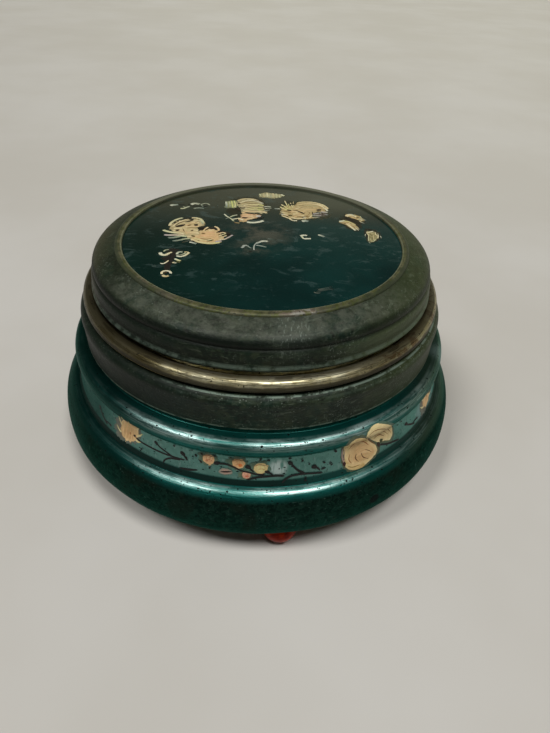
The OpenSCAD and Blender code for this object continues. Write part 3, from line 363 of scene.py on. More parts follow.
def oliveLacquer():
    # dull olive lacquer: mottled and smeared, scratched, with worn edges; paler on the front shoulder under
    # scratches and a painted sheen; painted shade on the left and in the groove, painted light on the right, a
    # painted reflection at the back, painted highlights on the tier's shoulder
    f = Finish("oliveLacquer")
    z, r, side, depth = f.across("Z"), f.radius(), f.across("X"), f.across("Y")
    mottle = f.noise(0.8, 4.0, 0.7, warp=0.4)
    smear = f.noise(0.7, 3.0, 0.6, shape=(0.5, 0.5, 2.2), warp=0.8)
    where = f.fade(f.noise(0.085, 3.0, 0.7), 0.48, 0.60)
    # a patch on the front shoulder: scratches, and a painted sheen
    wearAndHighlight = f.near(7.9, -49.9, 69.3, 8.5, 0.8)
    cuts = f.noise(1.0, 3.0, 0.6, shape=(1.9, 0.55, 0.9), warp=0.5)
    lines = f.fade(cuts, 0.57, 0.64) * f.most(where * 0.3, wearAndHighlight)
    dots = f.specks(1.3, 0.4, 0.3) * f.most(where * 0.8, f.between(z, 52.0, 53.2, 53.9, 54.2))
    pale, dark = f.most(lines, dots * 0.8), f.specks(0.6, 0.25, 0.24)
    # top: a painted sheen on the front top of the lid, broken into patches
    top = f.fade(z, 67.8, 69.0) * f.fade(depth, -22.0, -38.0)
    sheenPatches = f.fade(f.noise(0.3, 5.0, 0.75), 0.36, 0.64)
    # painted shade in the groove under the lid's shoulder
    grooveShade = f.between(z, 64.6, 65.6, 67.4, 68.4) * (0.55 + 0.45 * f.fade(f.noise(0.06, 3.0, 0.6), 0.30, 0.50))
    colour = f.layers(
        f.blend(f.fade(f.noise(0.05, 3.0), 0.35, 0.65), (13, 26, 16), (30, 40, 28)),
        (f.fade(f.noise(0.11, 3.0, 0.6), 0.50, 0.62) * 0.6, (8, 38, 28)),
        (f.fade(f.noise(0.22, 3.0, 0.6, warp=0.8), 0.46, 0.66) * 0.5, (52, 60, 42)),
        (f.fade(mottle, 0.50, 0.68) * 0.35, (62, 74, 60)),
        (f.fade(smear, 0.46, 0.34) * 0.7, (7, 13, 8)),
        (f.fade(smear, 0.58, 0.68) * 0.4, (94, 104, 90)),
        # painted sheen on the front shoulder
        (wearAndHighlight * 0.35, (74, 84, 76)),
        (pale * 0.6, (128, 140, 130)),
        (dark * 0.7, (8, 12, 8)),
        # painted shade on the left, browner on the upper left, a painted sheen on the front top, a painted
        # reflection on the back top, painted light on the right skirt and on the right side, paler brown-grey
        # on the far left, painted shade in the groove
        (f.fade(side, -4.0, -28.0) * f.fade(z, 68.5, 66.0) * 0.8, (3, 17, 9)),
        (f.fade(side, -24.0, -44.0) * f.fade(z, 66.5, 68.5) * 0.4, (28, 34, 20)),
        (top * (0.10 + 0.34 * sheenPatches), (104, 108, 96)),
        (f.fade(depth, 24.0, 40.0) * f.fade(z, 67.5, 69.5) * 0.5, (74, 76, 62)),
        (f.fade(side, 12.0, 34.0) * f.between(z, 57.5, 59.0, 64.5, 66.0) * 0.4, (86, 98, 72)),
        (f.fade(side, 20.0, 46.0) * 0.35, (66, 76, 40)),
        (f.fade(side, -44.0, -52.0) * f.fade(z, 58.0, 59.5) * 0.35, (86, 82, 60)),
        (grooveShade * (0.9 - 0.35 * f.fade(side, 2.0, 20.0)), (3, 12, 6)))
    # worn edges on the lower lip of the lid and the foot of the tier; on the tier's shoulder and its back line,
    # from the front round to the right, a painted highlight that is partly worn metal
    lip, foot = f.between(z, 59.8, 60.1, 60.8, 61.3), f.fade(z, 43.85, 43.65)
    shoulder = f.fade(z, 52.2, 53.3) * f.fade(r, 58.0, 58.5) * f.fade(side, -34.0, -16.0)
    crest = f.fade(z, 53.3, 53.5) * f.between(r, 56.8, 57.0, 57.35, 57.55) * f.fade(side, -30.0, -12.0)
    broken = f.fade(f.noise(0.35, 3.0, 0.7), 0.36, 0.56)
    edge = f.most(lip * 0.28, foot * 0.7, shoulder * 0.25, crest * 0.9) * broken
    bump = mottle * 0.10 + smear * 0.10 + f.noise(1.6, 3.0, 0.6) * 0.03 + pale * 0.03 - dark * 0.05
    rough = 0.40 + 0.2 * mottle - 0.10 * pale - 0.08 * edge
    return f.skin(f.layers(colour, (edge, (112, 128, 116))), rough, 0.3 * edge, bump,
                  specular=0.17, coat=0.03, coatRough=0.3)


def tealAnodising():
    # satin teal metal: pale rubbed crests on bead and bulge carrying painted highlights, paler band, painted
    # shade in the line under the band, dark bulge, painted shade on the left, painted highlights on the band
    f = Finish("tealAnodising")
    z, r, side = f.across("Z"), f.radius(), f.across("X")
    # line: painted shade in the crease under the band, weaker to the right
    band, line = f.between(z, 27.5, 28.5, 35.0, 36.4), f.between(z, 25.85, 26.1, 27.6, 28.2)
    low = f.fade(z, 24.6, 22.8)
    rings = f.noise(1.0, 4.0, 0.65, shape=(0.16, 0.16, 2.6))
    turns = f.noise(1.0, 3.0, 0.6, shape=(0.05, 0.05, 7.0))
    upright = f.noise(1.0, 3.0, 0.6, shape=(1.1, 1.1, 0.22))
    grain, cloud = f.noise(0.7, 3.0, 0.6, warp=1.0), f.noise(0.07, 4.0, 0.6)
    deep = f.layers(
        f.blend(f.fade(cloud, 0.3, 0.7), (14, 80, 74), (28, 100, 94)),
        # painted shade on the left of the bead; greyer olive at the far right
        (f.fade(side, -14.0, -44.0) * 0.75, (5, 34, 30)),
        (f.fade(side, 36.0, 54.0) * 0.85, (54, 64, 53)))
    cuts = f.fade(f.noise(1.0, 3.0, 0.6, shape=(0.45, 0.45, 2.0), warp=0.7), 0.64, 0.70)
    nicks = f.fade(upright, 0.64, 0.70) * f.fade(f.noise(0.09, 2.0), 0.48, 0.60)
    bulge = f.layers(
        f.blend(f.fade(grain, 0.38, 0.62), (13, 32, 27), (26, 52, 44)),
        (f.fade(f.noise(0.1, 3.0, 0.6), 0.50, 0.62) * 0.6, (28, 36, 29)),
        (f.most(cuts, nicks) * 0.6, (76, 98, 92)),
        (f.fade(side, -50.0, -62.0) * 0.6, (58, 70, 64)))
    # lit: a painted highlight, a pale streak on the front of the band
    lit = f.near(6.0, -61.4, 31.8, 3.4, 0.6) * f.fade(f.noise(1.0, 2.0, 0.5, shape=(0.6, 0.6, 0.1)), 0.34, 0.5)
    pale = f.layers(
        f.blend(f.fade(cloud, 0.3, 0.7), (92, 138, 130), (110, 155, 148)),
        (f.fade(f.noise(0.3, 4.0, 0.7), 0.50, 0.68) * 0.4, (64, 104, 98)),
        (f.fade(upright, 0.56, 0.68) * 0.30, (160, 186, 184)),
        (lit * 0.8, (206, 224, 224)),
        # painted shade on the left of the band
        (f.fade(side, -38.0, -50.0) * 0.8, (30, 62, 58)))
    # the crests are rubbed through to pale metal in streaks along the turn, and carry a painted highlight:
    # strongest at the front, fainter to the sides, with a gap left of the middle
    away = ((1 - 0.5 * f.fade(side, 16.0, 40.0)) * (1 - 0.6 * f.between(side, -15.0, -9.0, -4.0, 1.0))
            * (1 - 0.7 * f.fade(side, 46.0, 56.0)) * (0.05 + 0.95 * f.fade(side, -43.0, -16.0))
            * (0.65 + 0.35 * f.fade(cloud, 0.40, 0.55)))
    beadCrest = f.fade(z, 38.5, 39.9) * f.fade(r, 59.3, 60.2) * away
    bulgeCrest = f.between(z, 24.7, 25.3, 25.8, 26.1) * f.fade(r, 63.5, 63.9) * away * 0.8
    wearAndHighlight = f.most(beadCrest, bulgeCrest) * (0.25 + 0.65 * f.fade(rings, 0.36, 0.58))
    crestWearAndHighlight = f.blend(f.fade(turns, 0.40, 0.62), (112, 152, 148), (212, 236, 234))
    # streak and glint: painted highlights on the band and bead
    streak = f.near(-54.4, -30.1, 36.5, 9, 0.7) * f.between(z, 35.0, 35.8, 37.0, 38.2)
    glint = f.most(f.near(51.4, -35.3, 30.5, 4.5, 0.7), f.near(56.5, -27.0, 31.5, 6, 0.7),
                   f.near(59.5, -18.0, 38.0, 7, 0.7) * 0.8)
    flecks, spot = f.specks(0.62, 0.40, 0.22, shape=(1, 1, 1.5)), f.near(35.1, -59.6, 16.9, 2.0, 0.35)
    small = f.specks(1.2, 0.30, 0.26, shape=(1, 1, 1.4)) * (1 - low)
    chips = f.most(flecks, spot, small * 0.85)
    rim = f.fade(f.noise(0.22, 4.0, 0.7), 0.56, 0.66) * f.fade(z, 17.0, 12.0)
    colour = f.mix(band, f.mix(low, deep, bulge), pale)
    colour = f.layers(colour, (streak * 0.7, (132, 160, 164)), (glint * 0.7, (150, 172, 176)))
    # pale crests with their painted highlight, painted shade in the line under the band, dark chips, paler
    # patches low on the bulge
    colour = f.layers(
        f.mix(wearAndHighlight, colour, crestWearAndHighlight),
        (line * (0.95 - 0.3 * f.fade(side, 4.0, 18.0)), (4, 32, 28)),
        (chips, (4, 12, 11)),
        (rim * 0.4, (66, 70, 60)))
    rough = 0.34 + 0.16 * rings + 0.12 * low + 0.04 * band + 0.25 * chips + 0.2 * line
    bump = rings * 0.07 + turns * 0.03 + upright * 0.03 - chips * 0.05 + grain * (0.02 + 0.07 * low)
    return f.skin(colour, rough, 0.92 - 0.4 * chips - 0.5 * line, bump, specular=0.3,
                  coat=0.14 * (1 - low), coatRough=0.25, edge=(0.35, 0.62, 0.56, 1))


def darkEnamel():
    # glossy dark teal enamel: a dusty haze over its middle, blue-grey scuffs towards the front, painted shade
    # on the left, a painted reflection of the wall at the back
    f = Finish("darkEnamel")
    side, depth = f.across("X"), f.across("Y") + 5.0 * f.noise(0.09, 3.0, 0.6)
    blots = f.noise(0.17, 3.0, 0.6, shape=(0.8, 1.3, 1), warp=1.0)
    scuff = f.fade(blots, 0.56, 0.68) * f.fade(f.noise(0.04, 2.0), 0.36, 0.52)
    cuts = f.noise(0.55, 3.0, 0.6, shape=(0.5, 1.2, 1), warp=0.8)
    hairs = f.noise(1.0, 2.0, 0.5, shape=(0.25, 3.2, 1))
    fine = f.fade(cuts, 0.57, 0.68) * f.fade(blots, 0.44, 0.60)
    hair = f.fade(hairs, 0.70, 0.76) * f.fade(f.noise(0.06, 2.0), 0.5, 0.6)
    marks = f.most(scuff * 0.75, fine * 0.8, hair * 0.6)
    haze = (f.most(f.near(-2, 2, 70, 16, 0.9), f.near(-3, -7, 70, 8, 0.8))
            * f.fade(f.noise(0.12, 4.0, 0.7), 0.36, 0.62))
    colour = f.layers(
        f.blend(f.fade(f.noise(0.035, 3.0), 0.35, 0.65), (1, 33, 32), (7, 47, 45)),
        # painted shade on the left; a painted reflection of the wall at the back and back right
        (f.fade(side, 5.0, -34.0) * 0.6, (4, 26, 18)),
        (f.fade(depth, 10.0, 30.0) * 0.8, (44, 47, 32)),
        (f.fade(depth, 18.0, 32.0) * f.fade(side, 4.0, 22.0) * 0.35, (84, 88, 72)),
        (haze * 0.68, (76, 74, 63)),
        (marks * 0.38, (54, 82, 84)))
    rough = 0.09 + 0.20 * marks + 0.16 * haze + 0.04 * f.noise(0.3, 4.0)
    return f.skin(colour, rough, bump=marks * 0.006 + f.noise(0.12, 2.0) * 0.01, specular=0.44)


def wornGilt():
    # thin gilding: gone from the slopes of the ring; but for the inner edge, darker and duller at its sides and
    # back, with a painted reflection paler at the back and a painted highlight at the front
    f = Finish("wornGilt")
    side, depth, r = f.across("X"), f.across("Y"), f.radius() + 0.5 * f.noise(0.6, 4.0)
    patch = f.noise(0.28, 4.0, 0.65, warp=0.5)
    rosy = f.most(f.near(9.8, -44.3, 71, 9, 0.7), f.fade(f.noise(0.05, 3.0), 0.52, 0.62) * 0.5)
    dark = f.specks(0.9, 0.3, 0.34)
    bare = f.most(f.fade(r, 45.6, 46.0) * 0.6, f.fade(f.noise(0.16, 5.0, 0.7), 0.54, 0.62) * 0.6)
    aside = f.fade(f.sum("ABSOLUTE", side), 18.0, 34.0)
    darkerSidesAndBack = f.most(aside, f.fade(depth, 6.0, 24.0)) * f.fade(r, 44.95, 45.2)
    # back: a painted reflection, paler at the back of the ring
    back = f.fade(depth, 12.0, 28.0)
    colour = f.layers(
        f.blend(f.fade(patch, 0.36, 0.62), (64, 68, 46), (106, 106, 76)),
        (rosy * 0.6, (140, 124, 116)),
        # a painted highlight at the front
        (f.near(11, -44, 71, 4.5, 0.5) * f.fade(f.noise(0.9, 3.0), 0.45, 0.55) * 0.6, (176, 176, 168)),
        (dark * 0.8, (40, 42, 30)),
        (bare, (46, 54, 38)),
        (f.fade(r, 44.5, 44.2) * 0.6, (142, 146, 118)),
        (f.fade(f.noise(0.5, 3.0, 0.6, warp=1.0), 0.52, 0.60) * 0.6, (84, 92, 40)),
        # darker and duller at the sides and back, then the painted reflection at the back
        (darkerSidesAndBack * 0.8, (38, 48, 32)),
        (back * 0.9, (96, 98, 82)))
    return f.skin(colour, 0.42 + 0.2 * patch, 0.55 - 0.5 * f.most(dark, bare, darkerSidesAndBack, back),
                  patch * 0.08 - dark * 0.06, specular=0.3)


def agedBrass():
    # polished once, now scratched along the turn, rusty on the right; tarnish in patches, painted shade, partly
    # tarnish, over its lower half, painted shade under the lid's lip and on both sides, a painted highlight on
    # its lower edge at the left
    f = Finish("agedBrass")
    z, side = f.across("Z"), f.across("X")
    rings = f.noise(1.0, 4.0, 0.65, shape=(0.06, 0.06, 2.8))
    fine = f.noise(1.0, 3.0, 0.6, shape=(0.05, 0.05, 8.0))
    scratched = f.fade(f.noise(1.0, 2.0, 0.5, shape=(0.12, 0.12, 6.0)), 0.55, 0.62)
    # left and right: painted shade on both sides of the roll
    left, right = f.fade(side, -12.0, -32.0), f.fade(side, 18.0, 38.0)
    rust = f.fade(f.noise(0.22, 3.0, 0.6, warp=0.8), 0.50, 0.60) * right
    # under: painted shade over the lower half of the roll, partly tarnish
    under = f.fade(z + 0.8 * f.noise(0.3, 4.0), 57.7, 56.9)
    # tarnish in patches, with painted shade over the lower half and under the lid's lip
    tarnishAndShade = f.most(f.fade(f.noise(0.4, 5.0, 0.7), 0.54, 0.68) * 0.4, under * 0.94, f.fade(z, 57.95, 58.15) * 0.7)
    # edge: a painted highlight along the roll's lower edge on the left
    edge = f.between(z, 54.3, 54.7, 55.1, 55.5) * f.fade(side, -20.0, -32.0)
    flecks = f.most(f.specks(0.5, 0.35, 0.17), f.specks(1.2, 0.25, 0.24))
    colour = f.layers(
        f.blend(f.fade(f.noise(0.12, 5.0, 0.65), 0.35, 0.68), (226, 222, 192), (186, 176, 134)),
        (f.fade(rings, 0.50, 0.62) * 0.5, (112, 100, 66)),
        (f.fade(fine, 0.52, 0.68) * 0.4, (238, 236, 214)),
        (scratched * 0.62, (66, 56, 28)),
        (left * 0.88, (76, 68, 40)),
        (right * 0.7, (112, 104, 70)),
        (rust * 0.7, (96, 66, 36)),
        # dark scratches on both sides, deepening the painted shade there
        (f.most(left, right) * scratched * 0.5, (26, 20, 10)),
        (tarnishAndShade, (46, 42, 26)),
        (edge * 0.8, (170, 156, 106)),
        (flecks * 0.9, (22, 19, 12)))
    rough = 0.27 + 0.14 * rings + 0.2 * tarnishAndShade + 0.2 * flecks
    return f.skin(colour, rough, 1 - 0.3 * tarnishAndShade, rings * 0.09 + fine * 0.04 - flecks * 0.03 - scratched * 0.04)


def redGloss():
    f = Finish("redGloss")
    colour = f.layers(f.blend(f.fade(f.noise(0.3, 3.0), 0.35, 0.65), (96, 10, 0), (150, 40, 0)),
                      (f.specks(0.9, 0.2, 0.2) * 0.6, (50, 10, 5)))
    return f.skin(colour, 0.24 + 0.12 * f.noise(1.2, 3.0), bump=f.noise(1.5, 2.0) * 0.01, specular=0.05)


def brushedMetal(name, light, dark, rough, shape=(0.2, 0.2, 5.0)):
    # plain machined metal: drawn lines, a little tarnish and small nicks
    f = Finish(name)
    lines, nicks = f.noise(1.0, 4.0, 0.65, shape=shape), f.specks(0.9, 0.25, 0.22)
    colour = f.blend(f.fade(f.noise(0.18, 4.0, 0.65), 0.35, 0.7), light, dark)
    colour = f.mix(nicks * 0.6, colour, (*[part * 0.35 for part in tone(*dark)[:3]], 1))
    return f.skin(colour, rough + 0.15 * lines + 0.2 * nicks, 1.0, lines * 0.012 - nicks * 0.02)


def clearGlass():
    f = Finish("clearGlass")
    wave, smear = f.noise(0.12, 3.0), f.fade(f.noise(0.5, 4.0), 0.6, 0.8)
    colour = f.mix(wave, (0.93, 0.97, 0.95, 1), (0.88, 0.95, 0.93, 1))
    return f.skin(colour, 0.02 + 0.05 * smear, bump=wave * 0.05, through=1.0, ior=1.5)


def silveredGlass():
    f = Finish("silveredGlass")
    spots = f.specks(0.35, 0.25, 0.22) * f.fade(f.radius() + 4 * f.noise(0.3, 3.0), 38.0, 43.0)
    colour = f.mix(spots, (0.86, 0.88, 0.88, 1), tone(60, 52, 40))
    return f.skin(colour, 0.02 + 0.4 * spots + 0.03 * f.noise(0.2, 4.0), 1 - 0.7 * spots)


def plainCard():
    f = Finish("plainCard")
    fibre = f.noise(1.2, 6.0, 0.75)
    return f.skin(f.blend(fibre, (150, 124, 86), (180, 154, 114)), 0.85, bump=fibre * 0.05)


def redFelt():
    f = Finish("redFelt")
    nap = f.noise(6.0, 5.0, 0.8)
    return f.skin(f.blend(nap, (120, 24, 20), (170, 52, 44)), 0.95, bump=nap * 0.15, sheen=0.4)


def castIron():
    f = Finish("castIron")
    grain, pits = f.noise(1.4, 5.0, 0.7), f.specks(0.8, 0.3, 0.25)
    colour = f.layers(f.blend(grain, (140, 141, 136), (172, 173, 168)), (pits * 0.7, (70, 68, 62)))
    return f.skin(colour, 0.42 + 0.2 * grain, 0.75, grain * 0.04 - pits * 0.05)


olive, teal, enamel, gilt = oliveLacquer(), tealAnodising(), darkEnamel(), wornGilt()
brassOld, red = agedBrass(), redGloss()
brass = brushedMetal("brass", (214, 178, 104), (176, 138, 74), 0.24)
steel = brushedMetal("turnedSteel", (196, 196, 192), (160, 160, 156), 0.26)
bright = brushedMetal("groundSteel", (210, 212, 214), (178, 180, 184), 0.16, (0.15, 3.0, 3.0))
blued = brushedMetal("bluedSteel", (70, 84, 116), (46, 54, 80), 0.25)
tinPlate = brushedMetal("platedSheet", (150, 152, 148), (118, 120, 116), 0.36, (0.15, 2.5, 1.0))
aluminium = brushedMetal("spunAluminium", (222, 222, 220), (196, 196, 192), 0.28, (0.05, 0.05, 4.0))
innerMetal = brushedMetal("bareInside", (176, 172, 156), (140, 134, 116), 0.4, (0.05, 0.05, 3.0))
print("finishes made")


lid = {"rimZ": 70.7, "plateR": 44.4, "plateZ": 69.5, "ringIn": 43.7, "ringOut": 45.9, "ringZ": 71.5,
       "shoulderR": 53.05, "shoulderH": 5.5, "ledgeZ": 65.2, "skirtR": 53.75, "skirtIn": 52.9, "skirtH": 5.9,
       "lipZ": 59.3, "seatR": 52.1, "bezelR": 50.6, "bezelZ": 65.8, "mirrorR": 43.0, "mirrorZ": 66.5,
       "cardTop": 68.7, "ledgeIn": 42.0, "dent": 0.10, "ringDent": 0.12}


def makeLid():
    o, z = lid["shoulderR"], lid["ledgeZ"]
    s, lip, h = lid["skirtR"], lid["lipZ"], lid["shoulderH"]
    plate, top, card = lid["plateR"], lid["rimZ"], lid["cardTop"]
    outside = (bend((lid["ringOut"], top), (o - 3.6, z + h * 0.84), (o - 1.7, z + h * 0.66), 16)
               + bend((o - 1.5, z + h * 0.63), (o + 0.15, z + h * 0.4), (o, z + h * 0.18), 12)
               + bend((o - 0.02, z + 0.9), (o - 0.5, z + 0.5), (o + 0.08, z + 0.05), 8)
               + bend((o + 0.16, z - 0.05), (s - 0.1, z - 0.5), (s - 0.03, z - 1.6), 8)
               + bend((s, z - 1.9), (s + 0.1, z - 2.2), (s, lip + lid["skirtH"] * 0.5), 6)
               + bend((s - 0.05, lip + lid["skirtH"] * 0.4), (s - 0.15, lip + 1.8), (s, lip + 1.3), 6)
               + bend((s + 0.2, lip + 1.1), (s + 0.7, lip + 0.6), (s + 0.2, lip), 10))
    inside = [(lid["skirtIn"], lip), (lid["skirtIn"], z), (lid["seatR"], z),
              (lid["bezelR"] + 0.2, lid["mirrorZ"] + 0.2), (plate + 5, lid["plateZ"] - 1.6),
              (plate + 0.85, lid["plateZ"] - 0.2), (plate + 0.85, card), (lid["ledgeIn"], card),
              (lid["ledgeIn"], lid["plateZ"]), (plate + 0.1, lid["plateZ"]), (plate + 0.1, top)]
    line = fine(eased(outside + inside, 0.2), 1.6)
    dress(turned("lidShell", line, [olive, innerMetal], dent=lid["dent"], inner=(lid["skirtIn"], lip + 0.4)),
          "lid", "olive_lacquer", "lid_shell")
    inR, outR, crest = lid["ringIn"], lid["ringOut"], lid["ringZ"]
    ring = ([(inR, top)] + bend((inR, top + 0.4), (inR, crest), (inR + 0.55, crest), 8)
            + bend((inR + 0.88, crest), (outR, crest), (outR, top), 10))
    dress(turned("giltRing", ring, [gilt], dent=lid["ringDent"]), "lid", "worn_gilt", "gilt_ring")


def plateHeight(x, y):
    # the slight waves of thin pressed sheet
    swing = noise.noise(Vector((x, y, 3.0)) * sheet["waveScale"])
    return lid["rimZ"] - 0.05 + sheet["wave"] * swing


def makePlate():
    points, faces, turns, edge = [], [], 256, lid["plateR"]
    angles = [2 * math.pi * j / turns for j in range(turns)]
    radii = [0.0] + [0.9 * i for i in range(1, 49)] + [edge - 0.25, edge]
    for r in radii:
        for a in angles:
            z = plateHeight(r * math.cos(a), r * math.sin(a)) if r < edge else lid["rimZ"] - 0.3
            points.append(spun(r, a, z))
    points += [spun(edge, a, lid["plateZ"]) for a in angles]
    top = len(radii) * turns
    for i in range(0, top, turns):
        for j in range(turns):
            k = (j + 1) % turns
            faces.append((i + j, i + turns + j, i + turns + k, i + k))
    faces.append(tuple(top + j for j in reversed(range(turns))))
    piece = tidyMesh(meshOf("paintedPlate", points, faces, [enamel], 35), 35)
    dress(piece, "lid", "dark_enamel", "top_plate")


def makeMirror():
    m, z, card = lid["mirrorR"], lid["mirrorZ"], lid["cardTop"]
    glass = eased([(0, z), (m - 0.2, z), (m - 0.2, z + 1.6), (0, z + 1.6)], 0.25)
    dress(turned("mirror", glass, [silveredGlass()]), "lid", "silvered_glass", "mirror_glass")
    lip = m + 0.1
    bezel = [(m - 1.4, lid["bezelZ"]), (lid["bezelR"], lid["bezelZ"]), (lid["bezelR"], z), (lip + 0.7, z),
             (lip + 0.7, card), (lip, card), (lip, z), (m - 1.4, z)]
    dress(turned("mirrorBezel", fine(eased(bezel, 0.25), 1.5), [brass]), "lid", "brass", "mirror_bezel")


makeLid()
makePlate()
makeMirror()
print("lid made")


inner = {"mouthR": 51.6, "upstandR": 52.4, "upstandZ": 64.9, "deckZ": 54.8, "tierTop": 54.0, "rollR": 2.2,
         "rollMid": (55.05, 56.2), "collarDent": 0.06, "bowlR": 43.9, "bowlZ": 35.09, "bowlRimZ": 54.9,
         "bowlRimR": 46.7, "bowlWall": 1.6, "wellR": 45.2, "wellZ": 33.99, "panWall": 0.8, "corner": 3.0}


def dish(r, low, high, corner, n=10):
    return [(0, low)] + arc((r - corner, low + corner), corner, -90, 0, n) + [(r, high)]


def makeCollar():
    m, u = inner["mouthR"], inner["upstandR"]
    line = ([(m, inner["deckZ"]), (u + 0.9, inner["deckZ"]), (u + 0.9, inner["tierTop"])]
            + arc(inner["rollMid"], inner["rollR"], -90, 150, 40)
            + [(u, inner["rollMid"][1] + inner["rollR"] / 2), (u, inner["upstandZ"]), (m, inner["upstandZ"])])
    piece = turned("brassCollar", fine(eased(line, 0.3), 1.5), [brassOld], dent=inner["collarDent"])
    dress(piece, "case", "aged_brass", "brass_collar")


def makeBowl():
    wall, z = inner["bowlWall"], inner["bowlRimZ"]
    outside = dish(inner["bowlR"], inner["bowlZ"], z, 2.7)
    inside = dish(inner["bowlR"] - wall, inner["bowlZ"] + wall, z + wall, 2.4)
    line = outside + [(inner["bowlRimR"], z), (inner["bowlRimR"], z + wall)] + inside[::-1]
    piece = turned("glassBowl", fine(eased(line, 0.5), 2.5), [clearGlass()], turns=192)
    dress(piece, "bowl", "clear_glass", "powder_bowl")


def makePan():
    w, u, d = inner["panWall"], inner["upstandR"] + 0.8, inner["deckZ"]
    outside = dish(inner["wellR"], inner["wellZ"], d - w, inner["corner"])
    inside = dish(inner["wellR"] - w, inner["wellZ"] + w, d, inner["corner"] - w)
    line = outside + [(u, d - w), (u, d)] + inside[::-1]
    piece = turned("powderPan", fine(eased(line, 0.4), 2.5), [aluminium], turns=224)
    dress(piece, "case", "bare_aluminium", "powder_pan")


makeCollar()
makeBowl()
makePan()
print("collar, bowl and pan made")


case = {"tierR": 58.85, "tierFootR": 58.45, "tierZ": 43.1, "tierH": 10.9, "tierRound": 2.6, "tierTop": 54.0,
        "wall": 0.9, "neckR": 57.4, "beadR": 62.75, "beadH": 5.4, "beadTop": 41.0, "bandTopR": 60.85,
        "bandTop": 35.6, "bandLowR": 63.55, "bandH": 9.85, "flare": 2.7, "bulgeMid": 14.8, "bulgeTop": 25.75,
        "bulgeStep": 5.6, "power": 2.15, "edgeR": 65.95, "edgeIn": 3.2, "edgeH": 9.2, "insideZ": 11.0,
        "flangeT": 0.9, "flangeR": 56.45, "flangeOut": 67.15, "webR": 65.35, "dent": 0.12}
c = case
tier, middle = c["tierR"] - c["tierRound"], c["bulgeMid"]
upperLine = (bend((c["tierFootR"], c["tierZ"]), (c["tierFootR"], c["tierZ"] + c["tierH"] / 2),
                  (c["tierR"], c["tierTop"] - c["tierRound"]), 12)
             + arc((tier, c["tierTop"] - c["tierRound"]), c["tierRound"], 12, 90, 16)
             + [(inner["upstandR"] - 0.4, c["tierTop"])])
beadMid = (c["beadR"] - c["beadH"] / 2 + 0.3, c["bandTop"] + c["beadH"] / 2)
bead = (c["beadR"] - beadMid[0], c["beadH"] / 2)
bandLine = bend((c["bandLowR"] - 0.1, c["bulgeTop"] + 0.2),
                (c["bandTopR"] + c["flare"] * 0.36, c["bulgeTop"] + c["bandH"] / 2),
                (c["bandTopR"], c["bandTop"] - 0.1), 20)
bandLine = [p for p in bandLine if p[1] < c["bandTop"] - 0.7]
fillet = bend(bandLine[-1], (c["bandTopR"] + 0.05, c["bandTop"] + 0.1), oval(beadMid, *bead, -45, -44, 1)[0], 8)
lowerLine = (oval((c["edgeR"], middle), c["edgeIn"], middle - c["edgeH"], -90, -1, 6)
             + bulge((c["bandLowR"], middle), c["bulgeStep"], c["bulgeTop"] - middle, c["power"], 36)
             + bandLine + fillet[1:-1] + oval(beadMid, *bead, -45, 86, 5)
             + [(c["neckR"] + 0.3, c["beadTop"] + 0.1), (c["neckR"], c["beadTop"] + 0.5),
                (c["neckR"], c["tierZ"] + 4)])


def makeCase():
    line = upperLine + shifted(upperLine, c["wall"])[::-1]
    dress(turned("upperShell", fine(eased(line, 0.25), 1.6), [olive], dent=c["dent"]),
          "case", "olive_lacquer", "upper_shell")
    low, flange = c["insideZ"], c["insideZ"] + c["flangeT"]
    inside = [p for p in shifted(lowerLine, c["wall"]) if p[1] > flange + 0.3][::-1]
    foot = [(c["flangeOut"], flange), (c["flangeR"], flange), (c["flangeR"], low), (c["webR"], low),
            (c["webR"], c["edgeH"])]
    line = fine(eased(lowerLine + inside + foot, 0.25), 1.6)
    dress(turned("lowerShell", line, [teal], turns=320, dent=c["dent"]),
          "case", "teal_anodising", "lower_shell")


feet = {"r": 5.5, "z": 5.3, "seatR": 4.5, "top": 9.8, "place": 61.172, "angles": (-83, 37, 157), "turns": 72}


def makeFeet():
    # three turned balls, each with a small flat below and a flat seat above
    r, z, turns = feet["r"], feet["z"], feet["turns"]
    low, span = math.asin(-z / r), math.asin(feet["seatR"] / r) + math.asin(z / r)
    slopes = [low + span * i / 40 for i in range(41)]
    line = [(0, 0)] + [(r * math.cos(t), z + r * math.sin(t)) for t in slopes] + [(0, feet["top"])]
    points, faces, n = [], [], len(line)
    for angle in feet["angles"]:
        x, y = feet["place"] * math.cos(math.radians(angle)), feet["place"] * math.sin(math.radians(angle))
        base = len(points)
        for j in range(turns):
            a = 2 * math.pi * j / turns
            points += [spun(q, a, h, x, y) for q, h in line]
            here, beyond = base + j * n, base + (j + 1) % turns * n
            faces += [(here + i, beyond + i, beyond + i + 1, here + i + 1) for i in range(n - 1)]
    dress(tidyMesh(meshOf("ballFeet", points, faces, [red], 40), 40), "case", "red_gloss", "ball_feet")


makeCase()
makeFeet()
print("case made")


# painted flowers: thin strokes laid on the disc and on the band
bandLevels = [(z, r) for r, z in lowerLine if c["bulgeTop"] + 0.1 < z < beadMid[1] + 2.4]
bandZ, bandR = [level[0] for level in bandLevels], [level[1] for level in bandLevels]
# all in millimetres: heights of the paint above the metal, and the spacing of its points
brush = {"lift": 0.012, "beadLift": 0.03, "dome": 0.022, "sink": 0.02, "rise": 0.0012, "dabLift": 0.015,
         "dabRise": 0.006, "leafRise": 0.02, "pitch": 0.32, "dabPitch": 0.45}


def onDisc(x, y, lift):
    # x to the right and y to the back, in millimetres
    return (x * mm, y * mm, (plateHeight(x, y) + lift) * mm)


